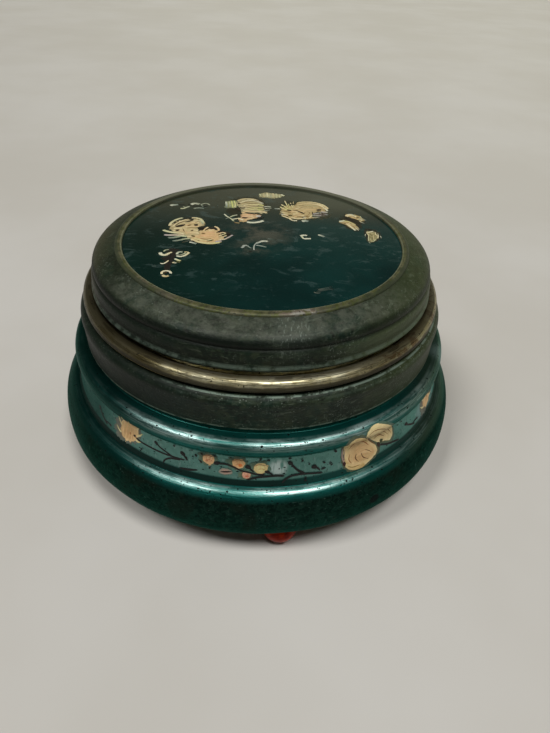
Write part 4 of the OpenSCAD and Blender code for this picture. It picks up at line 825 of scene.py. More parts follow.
def onBand(turn, z, lift):
    # degrees to the right of the front, and height
    z, step, a = min(max(z, bandZ[0]), bandZ[-1]), 0.15, math.radians(turn)
    r = float(np.interp(z, bandZ, bandR))
    slope = float(np.interp(z + step, bandZ, bandR) - np.interp(z - step, bandZ, bandR)) / (2 * step)
    slope = max(-2.5, min(1.2, slope))
    r -= dentAt(r * math.sin(a), -r * math.cos(a), z, case["dent"])
    r, z = r + lift / math.hypot(1, slope), z - lift * slope / math.hypot(1, slope)
    return (r * math.sin(a) * mm, -r * math.cos(a) * mm, z * mm)


def along(guides, n):
    # an even walk along a smooth curve through the guide points, and its length
    g = [np.array(p, float) for p in guides]
    g = [2 * g[0] - g[1]] + g + [2 * g[-1] - g[-2]]
    walk = []
    for a, b, c, d in zip(g, g[1:], g[2:], g[3:]):
        for t in [k / 12 for k in range(12)]:
            walk.append(0.5 * (2 * b + (c - a) * t + (2 * a - 5 * b + 4 * c - d) * t * t
                               + (3 * b - a - 3 * c + d) * t ** 3))
    walk = np.array(walk + [g[-2]])
    reach = np.concatenate([[0], np.cumsum(np.linalg.norm(np.diff(walk, axis=0), axis=1))])
    steps = np.linspace(0, reach[-1], n)
    return np.stack([np.interp(steps, reach, walk[:, k]) for k in (0, 1)], axis=1), reach[-1]


widths = {
    "leaf": lambda t: math.sin(math.pi * min(1, t * 0.94 + 0.03)) ** 0.6,
    "tail": lambda t: min(1, t / 0.12 + 0.25) ** 0.5 * (1 - 0.85 * t ** 1.6),
    "even": lambda t: min(1, t / 0.1 + 0.3, (1 - t) / 0.1 + 0.3) ** 0.6,
}


class Paint:
    def __init__(self, name, body, chart, unit, seed):
        # unit is how many millimetres one step sideways on the chart is
        self.name, self.body, self.chart, self.unit = name, body, chart, unit
        self.draw, self.points, self.faces, self.tints = random.Random(seed), [], [], []
        self.shift, self.limits = 0.0, None
        self.begin()

    def begin(self, lift=brush["lift"]):
        # each motif starts again from the bare surface
        self.lift = lift

    def put(self, x, y, lift, tint):
        self.points.append(self.chart(x / self.unit + self.shift, y, lift))
        self.tints.append([max(0.0, v) for v in tone(*[min(255, max(1, v)) for v in tint])])

    def outside(self, guides):
        if not self.limits:
            return False
        return not any(all(low < g[0] + self.shift < high for g in guides) for low, high in self.limits)

    def stroke(self, guides, width, tint, tail=None, shape="leaf", streak=14, lanes=6, ragged=0.06):
        if self.outside(guides):
            return
        guides = [(x * self.unit, y) for x, y in guides]
        tail = tail or tint
        n = max(7, min(34, int(along(guides, 4)[1] / brush["pitch"])))
        walk = along(guides, n)[0]
        starts = [self.draw.uniform(0, ragged) for _ in range(lanes + 1)]
        ends = [1 - self.draw.uniform(0, ragged * 1.5) for _ in range(lanes + 1)]
        shades = [self.draw.uniform(-streak, streak) for _ in range(lanes + 1)]
        first, m, ahead = len(self.points), lanes + 1, np.gradient(walk, axis=0)
        for i in range(n):
            for k in range(m):
                t = starts[k] + (ends[k] - starts[k]) * i / (n - 1)
                at = t * (n - 1)
                j = min(n - 2, int(at))
                here = walk[j] + (walk[j + 1] - walk[j]) * (at - j)
                d = ahead[j] / (np.linalg.norm(ahead[j]) or 1)
                s = 1 - 2 * k / lanes
                w = width * widths[shape](t) / 2
                dome = brush["dome"] * (1 - s * s) - (brush["sink"] if k in (0, lanes) else 0)
                dome += self.draw.uniform(-0.003, 0.003)
                colour = [a + (b - a) * t + shades[k] + self.draw.uniform(-4, 4) for a, b in zip(tint, tail)]
                self.put(here[0] - d[1] * s * w, here[1] + d[0] * s * w, self.lift + dome, colour)
        starts = [first + i * m + k for i in range(n - 1) for k in range(lanes)]
        self.faces += [(a, a + 1, a + m + 1, a + m) for a in starts]
        self.lift += brush["rise"]

    def strokes(self, shape, *lines):
        # each line is a width, its tint or its first and last tint, and its path; dark ones lie on top
        lanes, streak = (2, 4) if shape == "leaf" else (5, 12)
        self.lift += brush["leafRise"] if shape == "leaf" else 0
        for width, names, *path in lines:
            names = names.split()
            self.stroke(path, width, tints[names[0]], tints[names[-1]], shape, streak, lanes)

    def rows(self, shape, tint, tail, *lines, **other):
        # strokes of one colour, each a width and its path
        for width, *path in lines:
            self.stroke(path, width, tint, tail, shape, **other)

    def fan(self, start, end, n, width, tint, tail, wobble, **other):
        # n strokes from one guide stroke to another, no two quite alike
        for i in range(n):
            t = i / (n - 1)
            path = [(a[0] + (b[0] - a[0]) * t + self.draw.gauss(0, wobble) / self.unit,
                     a[1] + (b[1] - a[1]) * t + self.draw.gauss(0, wobble)) for a, b in zip(start, end)]
            change = self.draw.uniform(-14, 14)
            self.stroke(path, width * self.draw.uniform(0.7, 1.25), [v + change for v in tint],
                        [v + change for v in tail], **other)

    def gaps(self, start, end, n, width, tint, wobble=0.2):
        # thin dark lines left between the strokes of a fan, each shorter than the strokes
        for i in range(n):
            t = (i + self.draw.uniform(0.3, 0.7)) / n
            guides = [(a[0] + (b[0] - a[0]) * t, a[1] + (b[1] - a[1]) * t) for a, b in zip(start, end)]
            path = along(guides, 12)[0]
            first = self.draw.randint(0, 5)
            part = [tuple(q + self.draw.gauss(0, wobble) * 0.3)
                    for q in path[first:first + self.draw.randint(4, 7)]]
            self.stroke([part[0], part[len(part) // 2], part[-1]], width * self.draw.uniform(0.6, 1.5),
                        tint, streak=6, lanes=2)

    def dab(self, guides, tint, rim=None, wobble=0.12, streak=8):
        # a filled spot with an uneven edge; guides go round it against the clock
        if self.outside(guides):
            return
        guides = [(x * self.unit, y) for x, y in guides]
        loop = along(guides + [guides[0]], max(14, min(90, int(along(guides, 4)[1] / 0.5))))[0][:-1]
        middle = loop.mean(axis=0)
        rings = max(3, math.ceil(np.linalg.norm(loop - middle, axis=1).max() / brush["dabPitch"]))
        rim, first, n = rim or tint, len(self.points), len(loop)
        self.put(*middle, self.lift + brush["dabLift"], tint)
        edge = [1 + self.draw.uniform(-wobble, wobble) for _ in range(n)]
        for ring in range(1, rings + 1):
            size, lift = ring / rings, -brush["sink"] if ring == rings else brush["dabLift"]
            for i in range(n):
                x, y = middle + (loop[i] - middle) * size * (1 + (edge[i] - 1) * size ** 3)
                shade = streak * noise.noise(Vector((x * 1.4, y * 0.5, 9.0))) + self.draw.uniform(-3, 3)
                mixed = [a + (b - a) * size ** 2 + shade for a, b in zip(tint, rim)]
                self.put(x, y, self.lift + lift, mixed)
        for i in range(n):
            k = (i + 1) % n
            self.faces.append((first, first + 1 + i, first + 1 + k))
            for a in range(first + 1, first + 1 + n * (rings - 1), n):
                self.faces.append((a + i, a + n + i, a + n + k, a + k))
        self.lift += brush["dabRise"]

    def spot(self, x, y, wide, tall, tint, rim=None, lean=0, **other):
        turns = [math.pi * 2 * i / 9 for i in range(9)]
        a = math.radians(lean)
        self.dab([(x + (wide * math.cos(t) * math.cos(a) - tall * math.sin(t) * math.sin(a)) / self.unit,
                   y + wide * math.cos(t) * math.sin(a) + tall * math.sin(t) * math.cos(a)) for t in turns],
                 tint, rim, **other)

    def finish(self, material):
        piece = meshOf(self.name, self.points, self.faces, [material], 70)
        paint = piece.data.color_attributes.new("paint", "FLOAT_COLOR", "POINT")
        paint.data.foreach_set("color", np.array(self.tints, np.float32).ravel())
        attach(piece, self.body)
        return piece


def flowerPaint():
    f = Finish("flowerPaint")
    laid = f.add("ShaderNodeVertexColor", {"layer_name": "paint"}, {}, "Color")
    grain, crack = f.noise(2.6, 4.0, 0.7), f.specks(2.0, 0.18, 0.2)
    colour = f.mix(f.fade(f.noise(0.5, 4.0, 0.65), 0.35, 0.7) * 0.22, laid, tone(150, 120, 84), "MULTIPLY")
    colour = f.layers(colour, (crack * 0.5, (60, 52, 36)))
    return f.skin(colour, 0.42 + 0.25 * grain, bump=grain * 0.02 - crack * 0.03, specular=0.4)


tints = {"cream": (222, 208, 164), "peach": (214, 182, 132), "green": (196, 200, 158), "grey": (150, 156, 134),
         "pink": (208, 160, 132), "brown": (46, 30, 16), "shade": (42, 40, 22), "black": (12, 12, 12),
         "yellow": (206, 200, 140), "olive": (176, 170, 128), "mist": (112, 126, 116), "tan": (190, 174, 126),
         "blush": (222, 178, 138), "pale": (212, 214, 190), "leafy": (200, 204, 126), "lilac": (176, 166, 168),
         "scratch": (160, 168, 158), "ochre": (120, 92, 52), "moss": (70, 70, 26), "deep": (14, 30, 22),
         "dark": (20, 14, 6), "twig": (16, 9, 4)}


def discFlowers():
    p = Paint("discFlowers", "lid", onDisc, 1.0, 11)
    # left chrysanthemum: a lobe of cream petals, a peach lobe at its right, pale rays to the left
    p.begin()
    p.dab([(-29.3, 4.3), (-25.3, 4.6), (-21, 5.9), (-19.4, 6.3), (-18.8, 7.8), (-19.2, 9.9), (-20.9, 12.8),
           (-23.9, 13.5), (-26.4, 13.3), (-28.7, 12.1), (-30.4, 9.4), (-30.9, 5.5)], (36, 34, 18), (26, 36, 26))
    p.dab([(-20.8, 3.6), (-19.1, 3.2), (-15.1, 2.2), (-11.3, -0.7), (-10.4, 1.6), (-11.3, 3), (-14, 4.1),
           (-16.2, 6.3), (-19.4, 6.3), (-21.5, 6.3)], (30, 18, 8), (34, 32, 22))
    p.dab([(-29.9, 4.2), (-29.2, 2.4), (-27.8, 0.7), (-24.6, -0.9), (-23.3, -2.5), (-21.3, -2.8), (-19.5, -1.3),
           (-20.2, 2.2), (-21.2, 4), (-21, 5.9), (-19.5, 7.2), (-19.4, 8.9), (-20.9, 12.3), (-22.9, 12.1),
           (-25.7, 11.3), (-28.1, 10.1), (-29.8, 8), (-30.2, 5.4)], (200, 180, 134), (176, 164, 122))
    p.dab([(-20.5, 0.8), (-21.5, -0.6), (-22.5, -2.5), (-21.2, -3.7), (-19.1, -4.8), (-16.8, -5.3),
           (-14.5, -4.9), (-13, -3.5), (-12, -1.6), (-13.1, 0.1), (-14.2, 1.8), (-14.6, 3.6), (-15.7, 4.9),
           (-18.1, 4.7), (-19.1, 3.2), (-20.7, 3.1)], (214, 176, 126), (200, 178, 130))
    p.strokes("even",
        (1.05, "cream green", (-24.8, 0.7), (-27.8, 1), (-30.5, 1.8), (-32.2, 2.8)),
        (0.98, "cream lilac", (-24.7, -0.5), (-27.6, -0.6), (-29.9, -0.8), (-31.4, -0.7)),
        (1.05, "green mist", (-23.8, -1.3), (-25.9, -1.3), (-28, -2.4), (-30, -2.7)),
        (0.84, "green mist", (-22.8, -2.7), (-24.4, -3.1), (-26.2, -4.2), (-28.2, -4.9)),
        (0.63, "mist shade", (-22.3, -3.8), (-23.8, -4.8), (-25.2, -5.8)),
        (0.73, "peach cream", (-24.4, 2.3), (-27, 2.6), (-29.2, 2.4)),
        (0.92, "cream green", (-30.5, 5.8), (-30.2, 8.5), (-28.8, 11.1), (-26.9, 12.7)),
        (0.81, "cream", (-29.4, 5.2), (-28.9, 7.6), (-27.4, 9.7), (-25.1, 11.6)),
        (0.71, "tan cream", (-28.2, 5.3), (-27.5, 7.3), (-25.7, 9.1), (-22.7, 10.6), (-21.1, 10.3)),
        (0.84, "cream green", (-24.2, 12.7), (-22.8, 12.9), (-21, 12), (-19.6, 8.9)),
        (0.75, "green grey", (-21.9, 10.7), (-20.7, 10.3), (-19.8, 7.9)),
        (0.97, "peach cream", (-24.2, 8.5), (-22.6, 9.4), (-21, 9.3)),
        (0.74, "peach tan", (-25.6, 6.7), (-23.6, 7.6), (-21.7, 8.5)),
        (0.85, "cream peach", (-25.4, 5.5), (-23.5, 6.2), (-20.7, 6.6)),
        (0.83, "cream tan", (-29, 3.8), (-27.3, 4.4), (-25.2, 4.1), (-23.3, 4.3)),
        (1.01, "tan cream", (-24.7, 2.8), (-23.6, 3.3), (-22, 3.5), (-20.7, 3.1)),
        (1.08, "peach cream", (-24.9, 0.9), (-23.3, 1.5), (-21.8, 1.6), (-20.1, 1.3)),
        (0.93, "cream peach", (-24, -1.3), (-22.6, -1.2), (-20.7, -0.5), (-19.7, 0.4)),
        (1.02, "cream yellow", (-22.8, -3.2), (-21.1, -4.3), (-18.7, -5.3), (-16.4, -5.6), (-14.5, -5.1),
         (-13.1, -4.3)),
        (0.7, "yellow cream", (-21.7, -2.2), (-19.7, -3.3), (-17.7, -3.5), (-15.8, -2.8)),
        (0.54, "tan peach", (-19.9, -1.4), (-17.5, -2.1), (-15.6, -1), (-14.9, -0.1)),
        (0.64, "peach blush", (-19.8, 1.3), (-17.8, 2), (-15.5, 2.2)),
        (0.62, "blush peach", (-19.8, -0.2), (-17.6, -0.3), (-15.3, 0.8)),
        (0.62, "peach cream", (-19.3, 2.8), (-18.7, 4.7), (-17.9, 6.2)),
        (0.82, "cream peach", (-17.6, 3.4), (-16.6, 4.1), (-15.6, 4)),
        (0.7, "peach cream", (-15, 2.2), (-14.4, 4.1), (-15, 5.9), (-16.1, 6.7)),
        (0.69, "peach cream", (-14.4, 0.9), (-13.3, 2.3), (-11.9, 2.1)),
        (0.44, "cream yellow", (-14.1, -0.5), (-13, 0.8), (-11.8, 1.8)),
        (0.51, "tan cream", (-13.8, -1.8), (-12.7, -0.6), (-11.5, 0.4)),
        (0.59, "cream lilac", (-14.1, -2.2), (-12.5, -2.6), (-11.1, -1.1), (-9.7, 1)),
        (0.9, "lilac", (-14.9, -4.5), (-14, -4), (-12.9, -3.6)),
        (0.82, "pale mist", (-22.8, -5.2), (-21.8, -5.5), (-20.3, -6.4)))
    p.strokes("leaf",
        (0.86, "dark brown", (-25.9, 9.1), (-24.5, 10), (-23.1, 11.3)),
        (1.47, "brown dark", (-28.5, 5.3), (-27.1, 6.1), (-25.6, 7.3)),
        (0.69, "ochre", (-24.7, 6.2), (-24.2, 6.8), (-23.6, 7.4)),
        (1.51, "dark", (-22.7, 7.4), (-22, 7.2), (-21.3, 7.3)),
        (1.27, "brown", (-28.1, 3), (-27.5, 2.8), (-27, 3.3)),
        (0.26, "ochre brown", (-26.1, 4.5), (-25.6, 3.2), (-25.1, 1.6)),
        (0.69, "ochre brown", (-23.3, 2.7), (-22.8, 3), (-22.5, 3.4)),
        (1.22, "dark", (-21.2, 4.8), (-20.3, 4.9), (-19.2, 5.2)),
        (0.91, "ochre", (-19.7, 1.1), (-19.1, 1.2), (-18.5, 1.2)),
        (0.58, "brown dark", (-18.8, 3.6), (-18.3, 4.2), (-17.9, 5.1)),
        (1.32, "dark", (-17.7, 5.1), (-16.7, 5.1), (-15.7, 5.3)),
        (0.93, "moss ochre", (-22.7, -0.6), (-22.1, -1), (-21.4, -1.3)),
        (0.68, "black brown", (-23.2, -4.7), (-22.1, -4.4), (-21, -5)),
        (0.62, "deep", (-26.9, -3), (-26.2, -2.5), (-25.5, -1.8)),
        (0.61, "moss", (-17.6, -4.2), (-16.5, -3.8), (-15.4, -3)),
        (0.63, "brown dark", (-15, 2), (-14.1, 3.2), (-13, 3.7)),
        (0.3, "ochre brown", (-14.4, 0.1), (-13.7, 1.2), (-12.9, 1.4)),
        (0.29, "ochre brown", (-14.2, -1.1), (-13.3, -0.2), (-12.2, 0.8)),
        (0.87, "dark", (-11.8, 0.4), (-11, 1.5), (-10.4, 1.9)),
        (0.29, "ochre brown", (-29.7, 5.9), (-29.1, 7.6), (-28, 9.4)),
        (0.32, "brown ochre", (-28.7, 5.6), (-27.6, 8.2), (-25.4, 10.4)),
        (0.34, "ochre", (-22.6, 9.1), (-21.6, 9.7), (-20.8, 9.5)),
        (0.33, "ochre tan", (-24.7, 4.5), (-23, 5.2), (-21.2, 5.4)),
        (0.31, "ochre", (-19.8, -2.5), (-17.8, -2.9), (-16.1, -2.2)),
        (0.18, "ochre tan", (-21, 2.2), (-20.4, 1.7), (-20.1, 0.4)))
    # top flower: a cap of nested petals, a peach neck under it and a pale crescent below
    p.begin()
    p.dab([(-11.9, 23.2), (-12.9, 21.4), (-12.6, 17.2), (-10.6, 14.8), (-8.5, 14.5), (-7.9, 16.6), (-8.1, 21.9),
           (-8.9, 24), (-9.6, 30.1), (-12.7, 28.7)], (32, 28, 10), (34, 40, 26))
    p.dab([(-7.9, 21.9), (-3.1, 18.1), (-0.1, 18.9), (1.7, 20.6), (2.1, 22.8), (0.7, 26.6), (-0.6, 29.9),
           (-3.4, 33.1), (-7.1, 33), (-9.5, 31.3)], (44, 42, 22), (48, 50, 34))
    p.dab([(-9.1, 24), (-8.1, 21.9), (-7.7, 19.2), (-6.5, 17.8), (-3.1, 18.6), (-0.1, 18.6), (0.8, 19.7),
           (0.1, 21), (0.1, 24.8), (-0.6, 27.6), (-2.4, 30), (-5.4, 31.1), (-8.3, 30.3), (-9.8, 27.8)],
           (176, 164, 124), (160, 152, 116))
    p.dab([(-7.8, 14.5), (-8.6, 12.9), (-7.7, 11.3), (-5.8, 11.2), (-5.4, 12.7), (-3, 13.9), (-1.7, 15.1),
           (-1.3, 17.2), (-3, 17.8), (-6.1, 18.1), (-7.7, 17.4)], (206, 174, 134), (176, 146, 106))
    p.dab([(-13.8, 28), (-12.4, 29), (-10.4, 29.2), (-9.4, 28), (-9, 24.4), (-10, 22.2), (-13.2, 22),
           (-13.9, 25)], (158, 162, 112), (104, 112, 88))
    p.strokes("even",
        (1.08, "tan cream", (-9.7, 28.4), (-8.2, 30.2), (-6.1, 30.9), (-3.8, 30.6), (-2.4, 29.4), (-1.5, 28.3)),
        (0.81, "cream pale", (-9, 26.5), (-6.9, 28.7), (-4.2, 29.6), (-2, 28.6), (-0.2, 26.8)),
        (0.79, "tan olive", (-8.3, 25.4), (-6.8, 26.9), (-4.6, 27.5), (-2.4, 27.3), (-0.4, 25.9)),
        (0.78, "cream yellow", (-7.4, 24.7), (-5.4, 25.5), (-3.2, 26.1), (-1.3, 25.8)),
        (0.65, "cream tan", (-8.2, 23.2), (-6.3, 23.6), (-3.9, 24.6), (-1.9, 24.5)),
        (0.76, "cream leafy", (-7, 21.4), (-5.1, 22.4), (-3, 23.2), (-0.3, 23.2)),
        (0.65, "cream leafy", (-7.4, 20.1), (-5.5, 21.1), (-3.1, 21.9), (-0.3, 21.6)),
        (0.85, "peach cream", (-7.7, 18.2), (-5.9, 19.7), (-3.3, 19.9), (-0.5, 19.8), (1.4, 19.6)),
        (0.65, "leafy", (-1.9, 24.5), (-1, 25.6), (0, 25.1)),
        (0.51, "leafy yellow", (-2, 20.8), (-1, 21.6), (-0.1, 22.6)),
        (0.66, "pale grey", (-0.1, 24.1), (1.2, 24.7), (2.6, 24.2)),
        (0.53, "pale grey", (0.2, 22.6), (1.6, 23.2), (2.7, 23.3)),
        (0.49, "grey mist", (-0.1, 20.7), (1, 21.1), (2.1, 21.8)),
        (0.75, "pale mist", (-13.6, 27.5), (-13.2, 25), (-13.1, 22.2)),
        (0.53, "green grey", (-12.5, 27.9), (-12.1, 25.4), (-11.9, 22.6)),
        (0.59, "leafy", (-11.7, 28.5), (-11.2, 25.4), (-10.8, 22.2)),
        (0.53, "leafy cream", (-10.8, 28.9), (-10.2, 25.8), (-10.2, 22.5)),
        (0.4, "tan olive", (-9.9, 27.8), (-9.4, 25.6), (-9.4, 23.9)),
        (0.57, "moss", (-12.5, 28.7), (-11.6, 29), (-10.6, 28.9)),
        (1.04, "peach blush", (-7.6, 16.6), (-5.6, 17.1), (-3.5, 17)),
        (0.72, "blush cream", (-7.6, 15.3), (-5.5, 15.8), (-3.4, 15.9)),
        (0.72, "peach cream", (-7.8, 13.3), (-5.9, 13.2), (-4.2, 14.1), (-3, 15)),
        (0.82, "cream pale", (-8.8, 13.7), (-7.8, 13.3), (-6.7, 12.6)),
        (0.69, "tan peach", (-7.7, 11.4), (-6.4, 11.7), (-5.6, 11.7)),
        (1.34, "pale lilac", (-2.6, 16.3), (-1.9, 16.1), (-1.1, 16.4)),
        (1.1, "pale", (-5.8, 11.2), (-4.1, 10.7), (-1.8, 11.3), (0.1, 12.7)),
        (0.5, "pale green", (-13.6, 16.9), (-12.4, 14.9), (-11.2, 13.5), (-9.8, 11.1)),
        (0.53, "green pale", (-11.4, 14.5), (-10.2, 15.9), (-8.9, 16.4)),
        (0.65, "pale cream", (-10.9, 12.5), (-9.4, 13.3), (-8, 14)),
        (0.37, "mist grey", (-12.9, 12.6), (-12.2, 13.5), (-11.6, 14.2)),
        (0.58, "ochre tan", (-9.7, 10.4), (-8.9, 10.1), (-7.9, 10)))
    p.strokes("leaf",
        (1.12, "dark brown", (-9.4, 26.6), (-8.9, 26.4), (-8.5, 26.7)),
        (0.98, "brown dark", (-8.5, 22.8), (-7.5, 22.5), (-6.5, 23)),
        (0.82, "dark", (-6.6, 18.7), (-5, 18.2), (-2.7, 17.8)),
        (1.12, "dark brown", (-7.4, 14.6), (-6.3, 14.2), (-5.4, 14.5)),
        (0.94, "dark", (-3.9, 13.4), (-2.1, 14), (0.1, 15.2)),
        (0.48, "moss", (-2.3, 25.2), (-1.5, 24.8), (-0.5, 24.7)),
        (0.43, "moss", (-2.3, 22.4), (-1.4, 22.2), (-0.3, 22.4)),
        (0.35, "ochre", (-7, 20.5), (-5.3, 21.7), (-3.2, 22.5)),
        (0.37, "ochre tan", (-7.2, 24), (-5.2, 24.8), (-3.2, 25.4)),
        (0.42, "ochre", (-8.1, 26.2), (-6, 27.8), (-3.8, 28.4)),
        (0.38, "ochre moss", (-6.2, 22.6), (-4.1, 23.7), (-1.4, 23.9)),
        (0.39, "brown ochre", (-3.8, 30.1), (-2, 29.2), (-0.4, 27.7)),
        (0.74, "brown", (-9.9, 22.3), (-9, 21.3), (-8, 19.5)),
        (0.34, "ochre", (-6.4, 26.3), (-4.2, 26.8), (-1.9, 26.4)))
    # long striped bud at the back
    p.begin()
    p.dab([(-1.1, 32.7), (1.1, 32.7), (3.9, 32), (4.3, 32.7), (7.3, 35.1), (6.7, 36.5), (3.9, 37.1),
           (1.1, 37.8), (-1.2, 36.9), (-2.1, 34.4)], (186, 182, 142), (132, 128, 94))
    p.strokes("even",
        (0.82, "green olive", (-1.7, 36.2), (-1.4, 34.5), (-1.3, 33.2)),
        (0.71, "olive tan", (-0.4, 37.1), (-0.2, 34.9), (0, 33)),
        (0.8, "cream green", (0.9, 37.6), (1.1, 35.3), (1.2, 33.3)),
        (0.61, "olive grey", (2, 37.4), (2.3, 35.2), (2.4, 33)),
        (0.71, "cream olive", (3.1, 37.2), (3.3, 35), (3.5, 32.5)),
        (0.7, "green olive", (4.2, 37), (4.5, 34.8), (4.4, 32.6)),
        (0.61, "olive green", (5.4, 36.7), (5.6, 34.9), (5.6, 33.1)),
        (0.98, "pale green", (6.1, 36.3), (6.9, 35.3), (7.3, 34.9)))
    # right chrysanthemum: rays at the left, broad petals over the top, dull lilac shade at the right
    p.begin()
    p.dab([(5.2, 20.7), (6, 16.6), (8.7, 13.7), (11.6, 13), (14.7, 14.8), (17.7, 15), (21.2, 16.4),
           (22.5, 19.1), (23, 23.4), (22.4, 26.7), (19.9, 29.9), (16.4, 31.3), (10.5, 30.7), (7.3, 31),
           (5.2, 25.1)], (44, 44, 24), (50, 54, 38))
    p.dab([(5.6, 21.3), (6, 18.7), (7.5, 16.2), (9.1, 14.8), (11.2, 14), (12.8, 15.4), (14.7, 15.3), (16.4, 16),
           (16.8, 19.1), (18.5, 20.9), (19.8, 22.1), (22, 21.7), (22.6, 23.7), (21.5, 26.6), (19.4, 28.7),
           (16.8, 30.1), (13.6, 29.8), (11.5, 28.5), (9.9, 26.1), (7.7, 26.4), (5.9, 24)], (190, 168, 120),
           (168, 150, 104))
    p.dab([(16.5, 18), (17.8, 17.1), (19.9, 17.3), (22.2, 19.1), (22, 21.7), (19.4, 22), (16.9, 20.2)],
           (104, 94, 82), (76, 76, 60))
    p.strokes("even",
        (1.28, "tan cream", (11.3, 28.4), (13.4, 29.6), (16.3, 30.1), (19, 29.2), (21.2, 27.3), (22.7, 24)),
        (1.03, "tan cream", (11.4, 26.9), (14, 28.2), (17.1, 28.5), (19.8, 27.5), (21.4, 25.4)),
        (1.02, "tan olive", (11.4, 25.2), (14.4, 26.5), (17.3, 26.7), (19.3, 25.7)),
        (0.78, "cream tan", (10.9, 23.5), (13.2, 24.4), (16, 24.9), (18.2, 24.5)),
        (0.81, "tan peach", (11.5, 22.3), (14.2, 23.2), (16.9, 23.4), (18.6, 23.9)),
        (0.75, "peach tan", (12.1, 21.2), (14.6, 21.8), (16.8, 21.8)),
        (0.81, "cream pale", (20.5, 25.1), (21.6, 24.7), (22.3, 22.5)),
        (0.41, "yellow cream", (8.3, 25.1), (7.8, 28.1), (7.3, 30.5)),
        (0.63, "leafy cream", (8.3, 23.2), (7.1, 25.3), (6.1, 27)),
        (0.76, "cream yellow", (8, 22.3), (6.7, 23.3), (5.6, 24.9)),
        (0.44, "yellow cream", (10.1, 24.2), (9.8, 26.6), (9.3, 28.9)),
        (0.32, "cream tan", (10.6, 25.3), (10.4, 28.4), (10.6, 30.2)),
        (0.34, "leafy yellow", (9.2, 23.8), (8.8, 26), (8.6, 27.7)),
        (0.66, "pale mist", (5.8, 22.9), (4.8, 23), (3.5, 23)),
        (0.82, "cream tan", (5.6, 20.5), (7.1, 19.8), (8.6, 19.3)),
        (0.79, "pale peach", (5.8, 18.6), (7.3, 18.2), (8.8, 17.3)),
        (0.7, "cream", (6.1, 17.4), (7.9, 15.8), (9.4, 14.8)),
        (0.68, "cream pale", (8.7, 14.9), (10, 13.5), (11.4, 13.7)),
        (0.76, "leafy tan", (6.7, 22.5), (8.5, 23.2), (10.2, 22.8)),
        (0.86, "peach cream", (9.1, 20.5), (10.6, 21.2), (11.9, 20.3)),
        (0.85, "cream peach", (9.9, 18.5), (11.4, 19.2), (12.9, 18.2)),
        (0.67, "peach cream", (10, 16.4), (12.2, 17.7), (14, 18.1)),
        (0.72, "cream", (9.2, 16.3), (11.1, 15.2), (13.2, 15.4), (14.7, 15.2)),
        (0.6, "pale cream", (13.5, 16.2), (13.9, 16.7), (14.7, 16.5)),
        (0.42, "cream tan", (15.4, 16.1), (16.1, 17.5), (16.6, 19.1)),
        (0.15, "ochre", (14, 19.1), (14.1, 20.6), (15, 21.3), (15.8, 20.6), (15.5, 18.9), (14.6, 18.2)),
        (0.63, "lilac grey", (16.9, 19.5), (18.4, 20.2), (19.9, 20.9)),
        (0.62, "grey lilac", (16.5, 18), (18.3, 18.4), (20, 18.6)),
        (0.57, "cream mist", (16.5, 16.4), (17.8, 16.6), (19.2, 17.4)),
        (0.71, "lilac pale", (19.8, 21.8), (20.9, 21.6), (22.3, 21.6)),
        (0.62, "lilac mist", (21, 19.9), (21.6, 19.5), (22.3, 19.3)),
        (1.31, "pale mist", (12.8, 13.1), (14, 13.7), (15.1, 13.2)))
    p.strokes("leaf",
        (1.04, "moss brown", (7.9, 22.3), (8.8, 21.9), (9.6, 21.7)),
        (0.84, "brown moss", (8.2, 17.6), (9.2, 17.6), (9.8, 17.4)),
        (0.72, "dark", (11.8, 21.5), (12.9, 20.5), (14.1, 19.2)),
        (1.25, "dark moss", (9.4, 27.7), (10.3, 27.2), (10.9, 27.6)),
        (1.39, "brown dark", (18.4, 22.7), (19.3, 23.2), (20.1, 23.7)),
        (0.35, "dark brown", (16.8, 21.6), (16.9, 20.5), (16.6, 19)),
        (0.18, "dark", (19.2, 20.9), (19.3, 19.9), (19.3, 18.5)),
        (0.23, "dark", (20.2, 21.1), (20.4, 20), (20.3, 18.3)),
        (0.22, "dark brown", (21.2, 20.8), (21.2, 19.8), (21.1, 18.7)),
        (0.56, "brown dark", (5.3, 19.7), (6, 19.2), (6.7, 18.7)),
        (0.37, "ochre brown", (6.4, 17.7), (7.3, 16.9), (8.4, 16.5)),
        (0.42, "ochre", (13.5, 17.1), (14.8, 17.3), (15.7, 17.1)),
        (0.3, "ochre tan", (12, 23.5), (14.3, 25.3), (17, 25.6)),
        (0.32, "ochre tan", (12.1, 25.8), (14.4, 27.1), (17.3, 27.5)),
        (0.41, "ochre brown", (10, 22.1), (11.5, 21.8), (12.6, 20.9)),
        (0.41, "ochre", (7.1, 20.8), (8.2, 20.5), (9.3, 20)),
        (0.36, "ochre", (11.3, 17.1), (12.8, 16.6), (13.5, 16.6)),
        (0.24, "moss brown", (6.8, 25.8), (7.2, 23.9), (8.1, 23.6)),
        (0.18, "moss", (8.6, 25.1), (9.1, 26.6), (9.3, 27.4)))
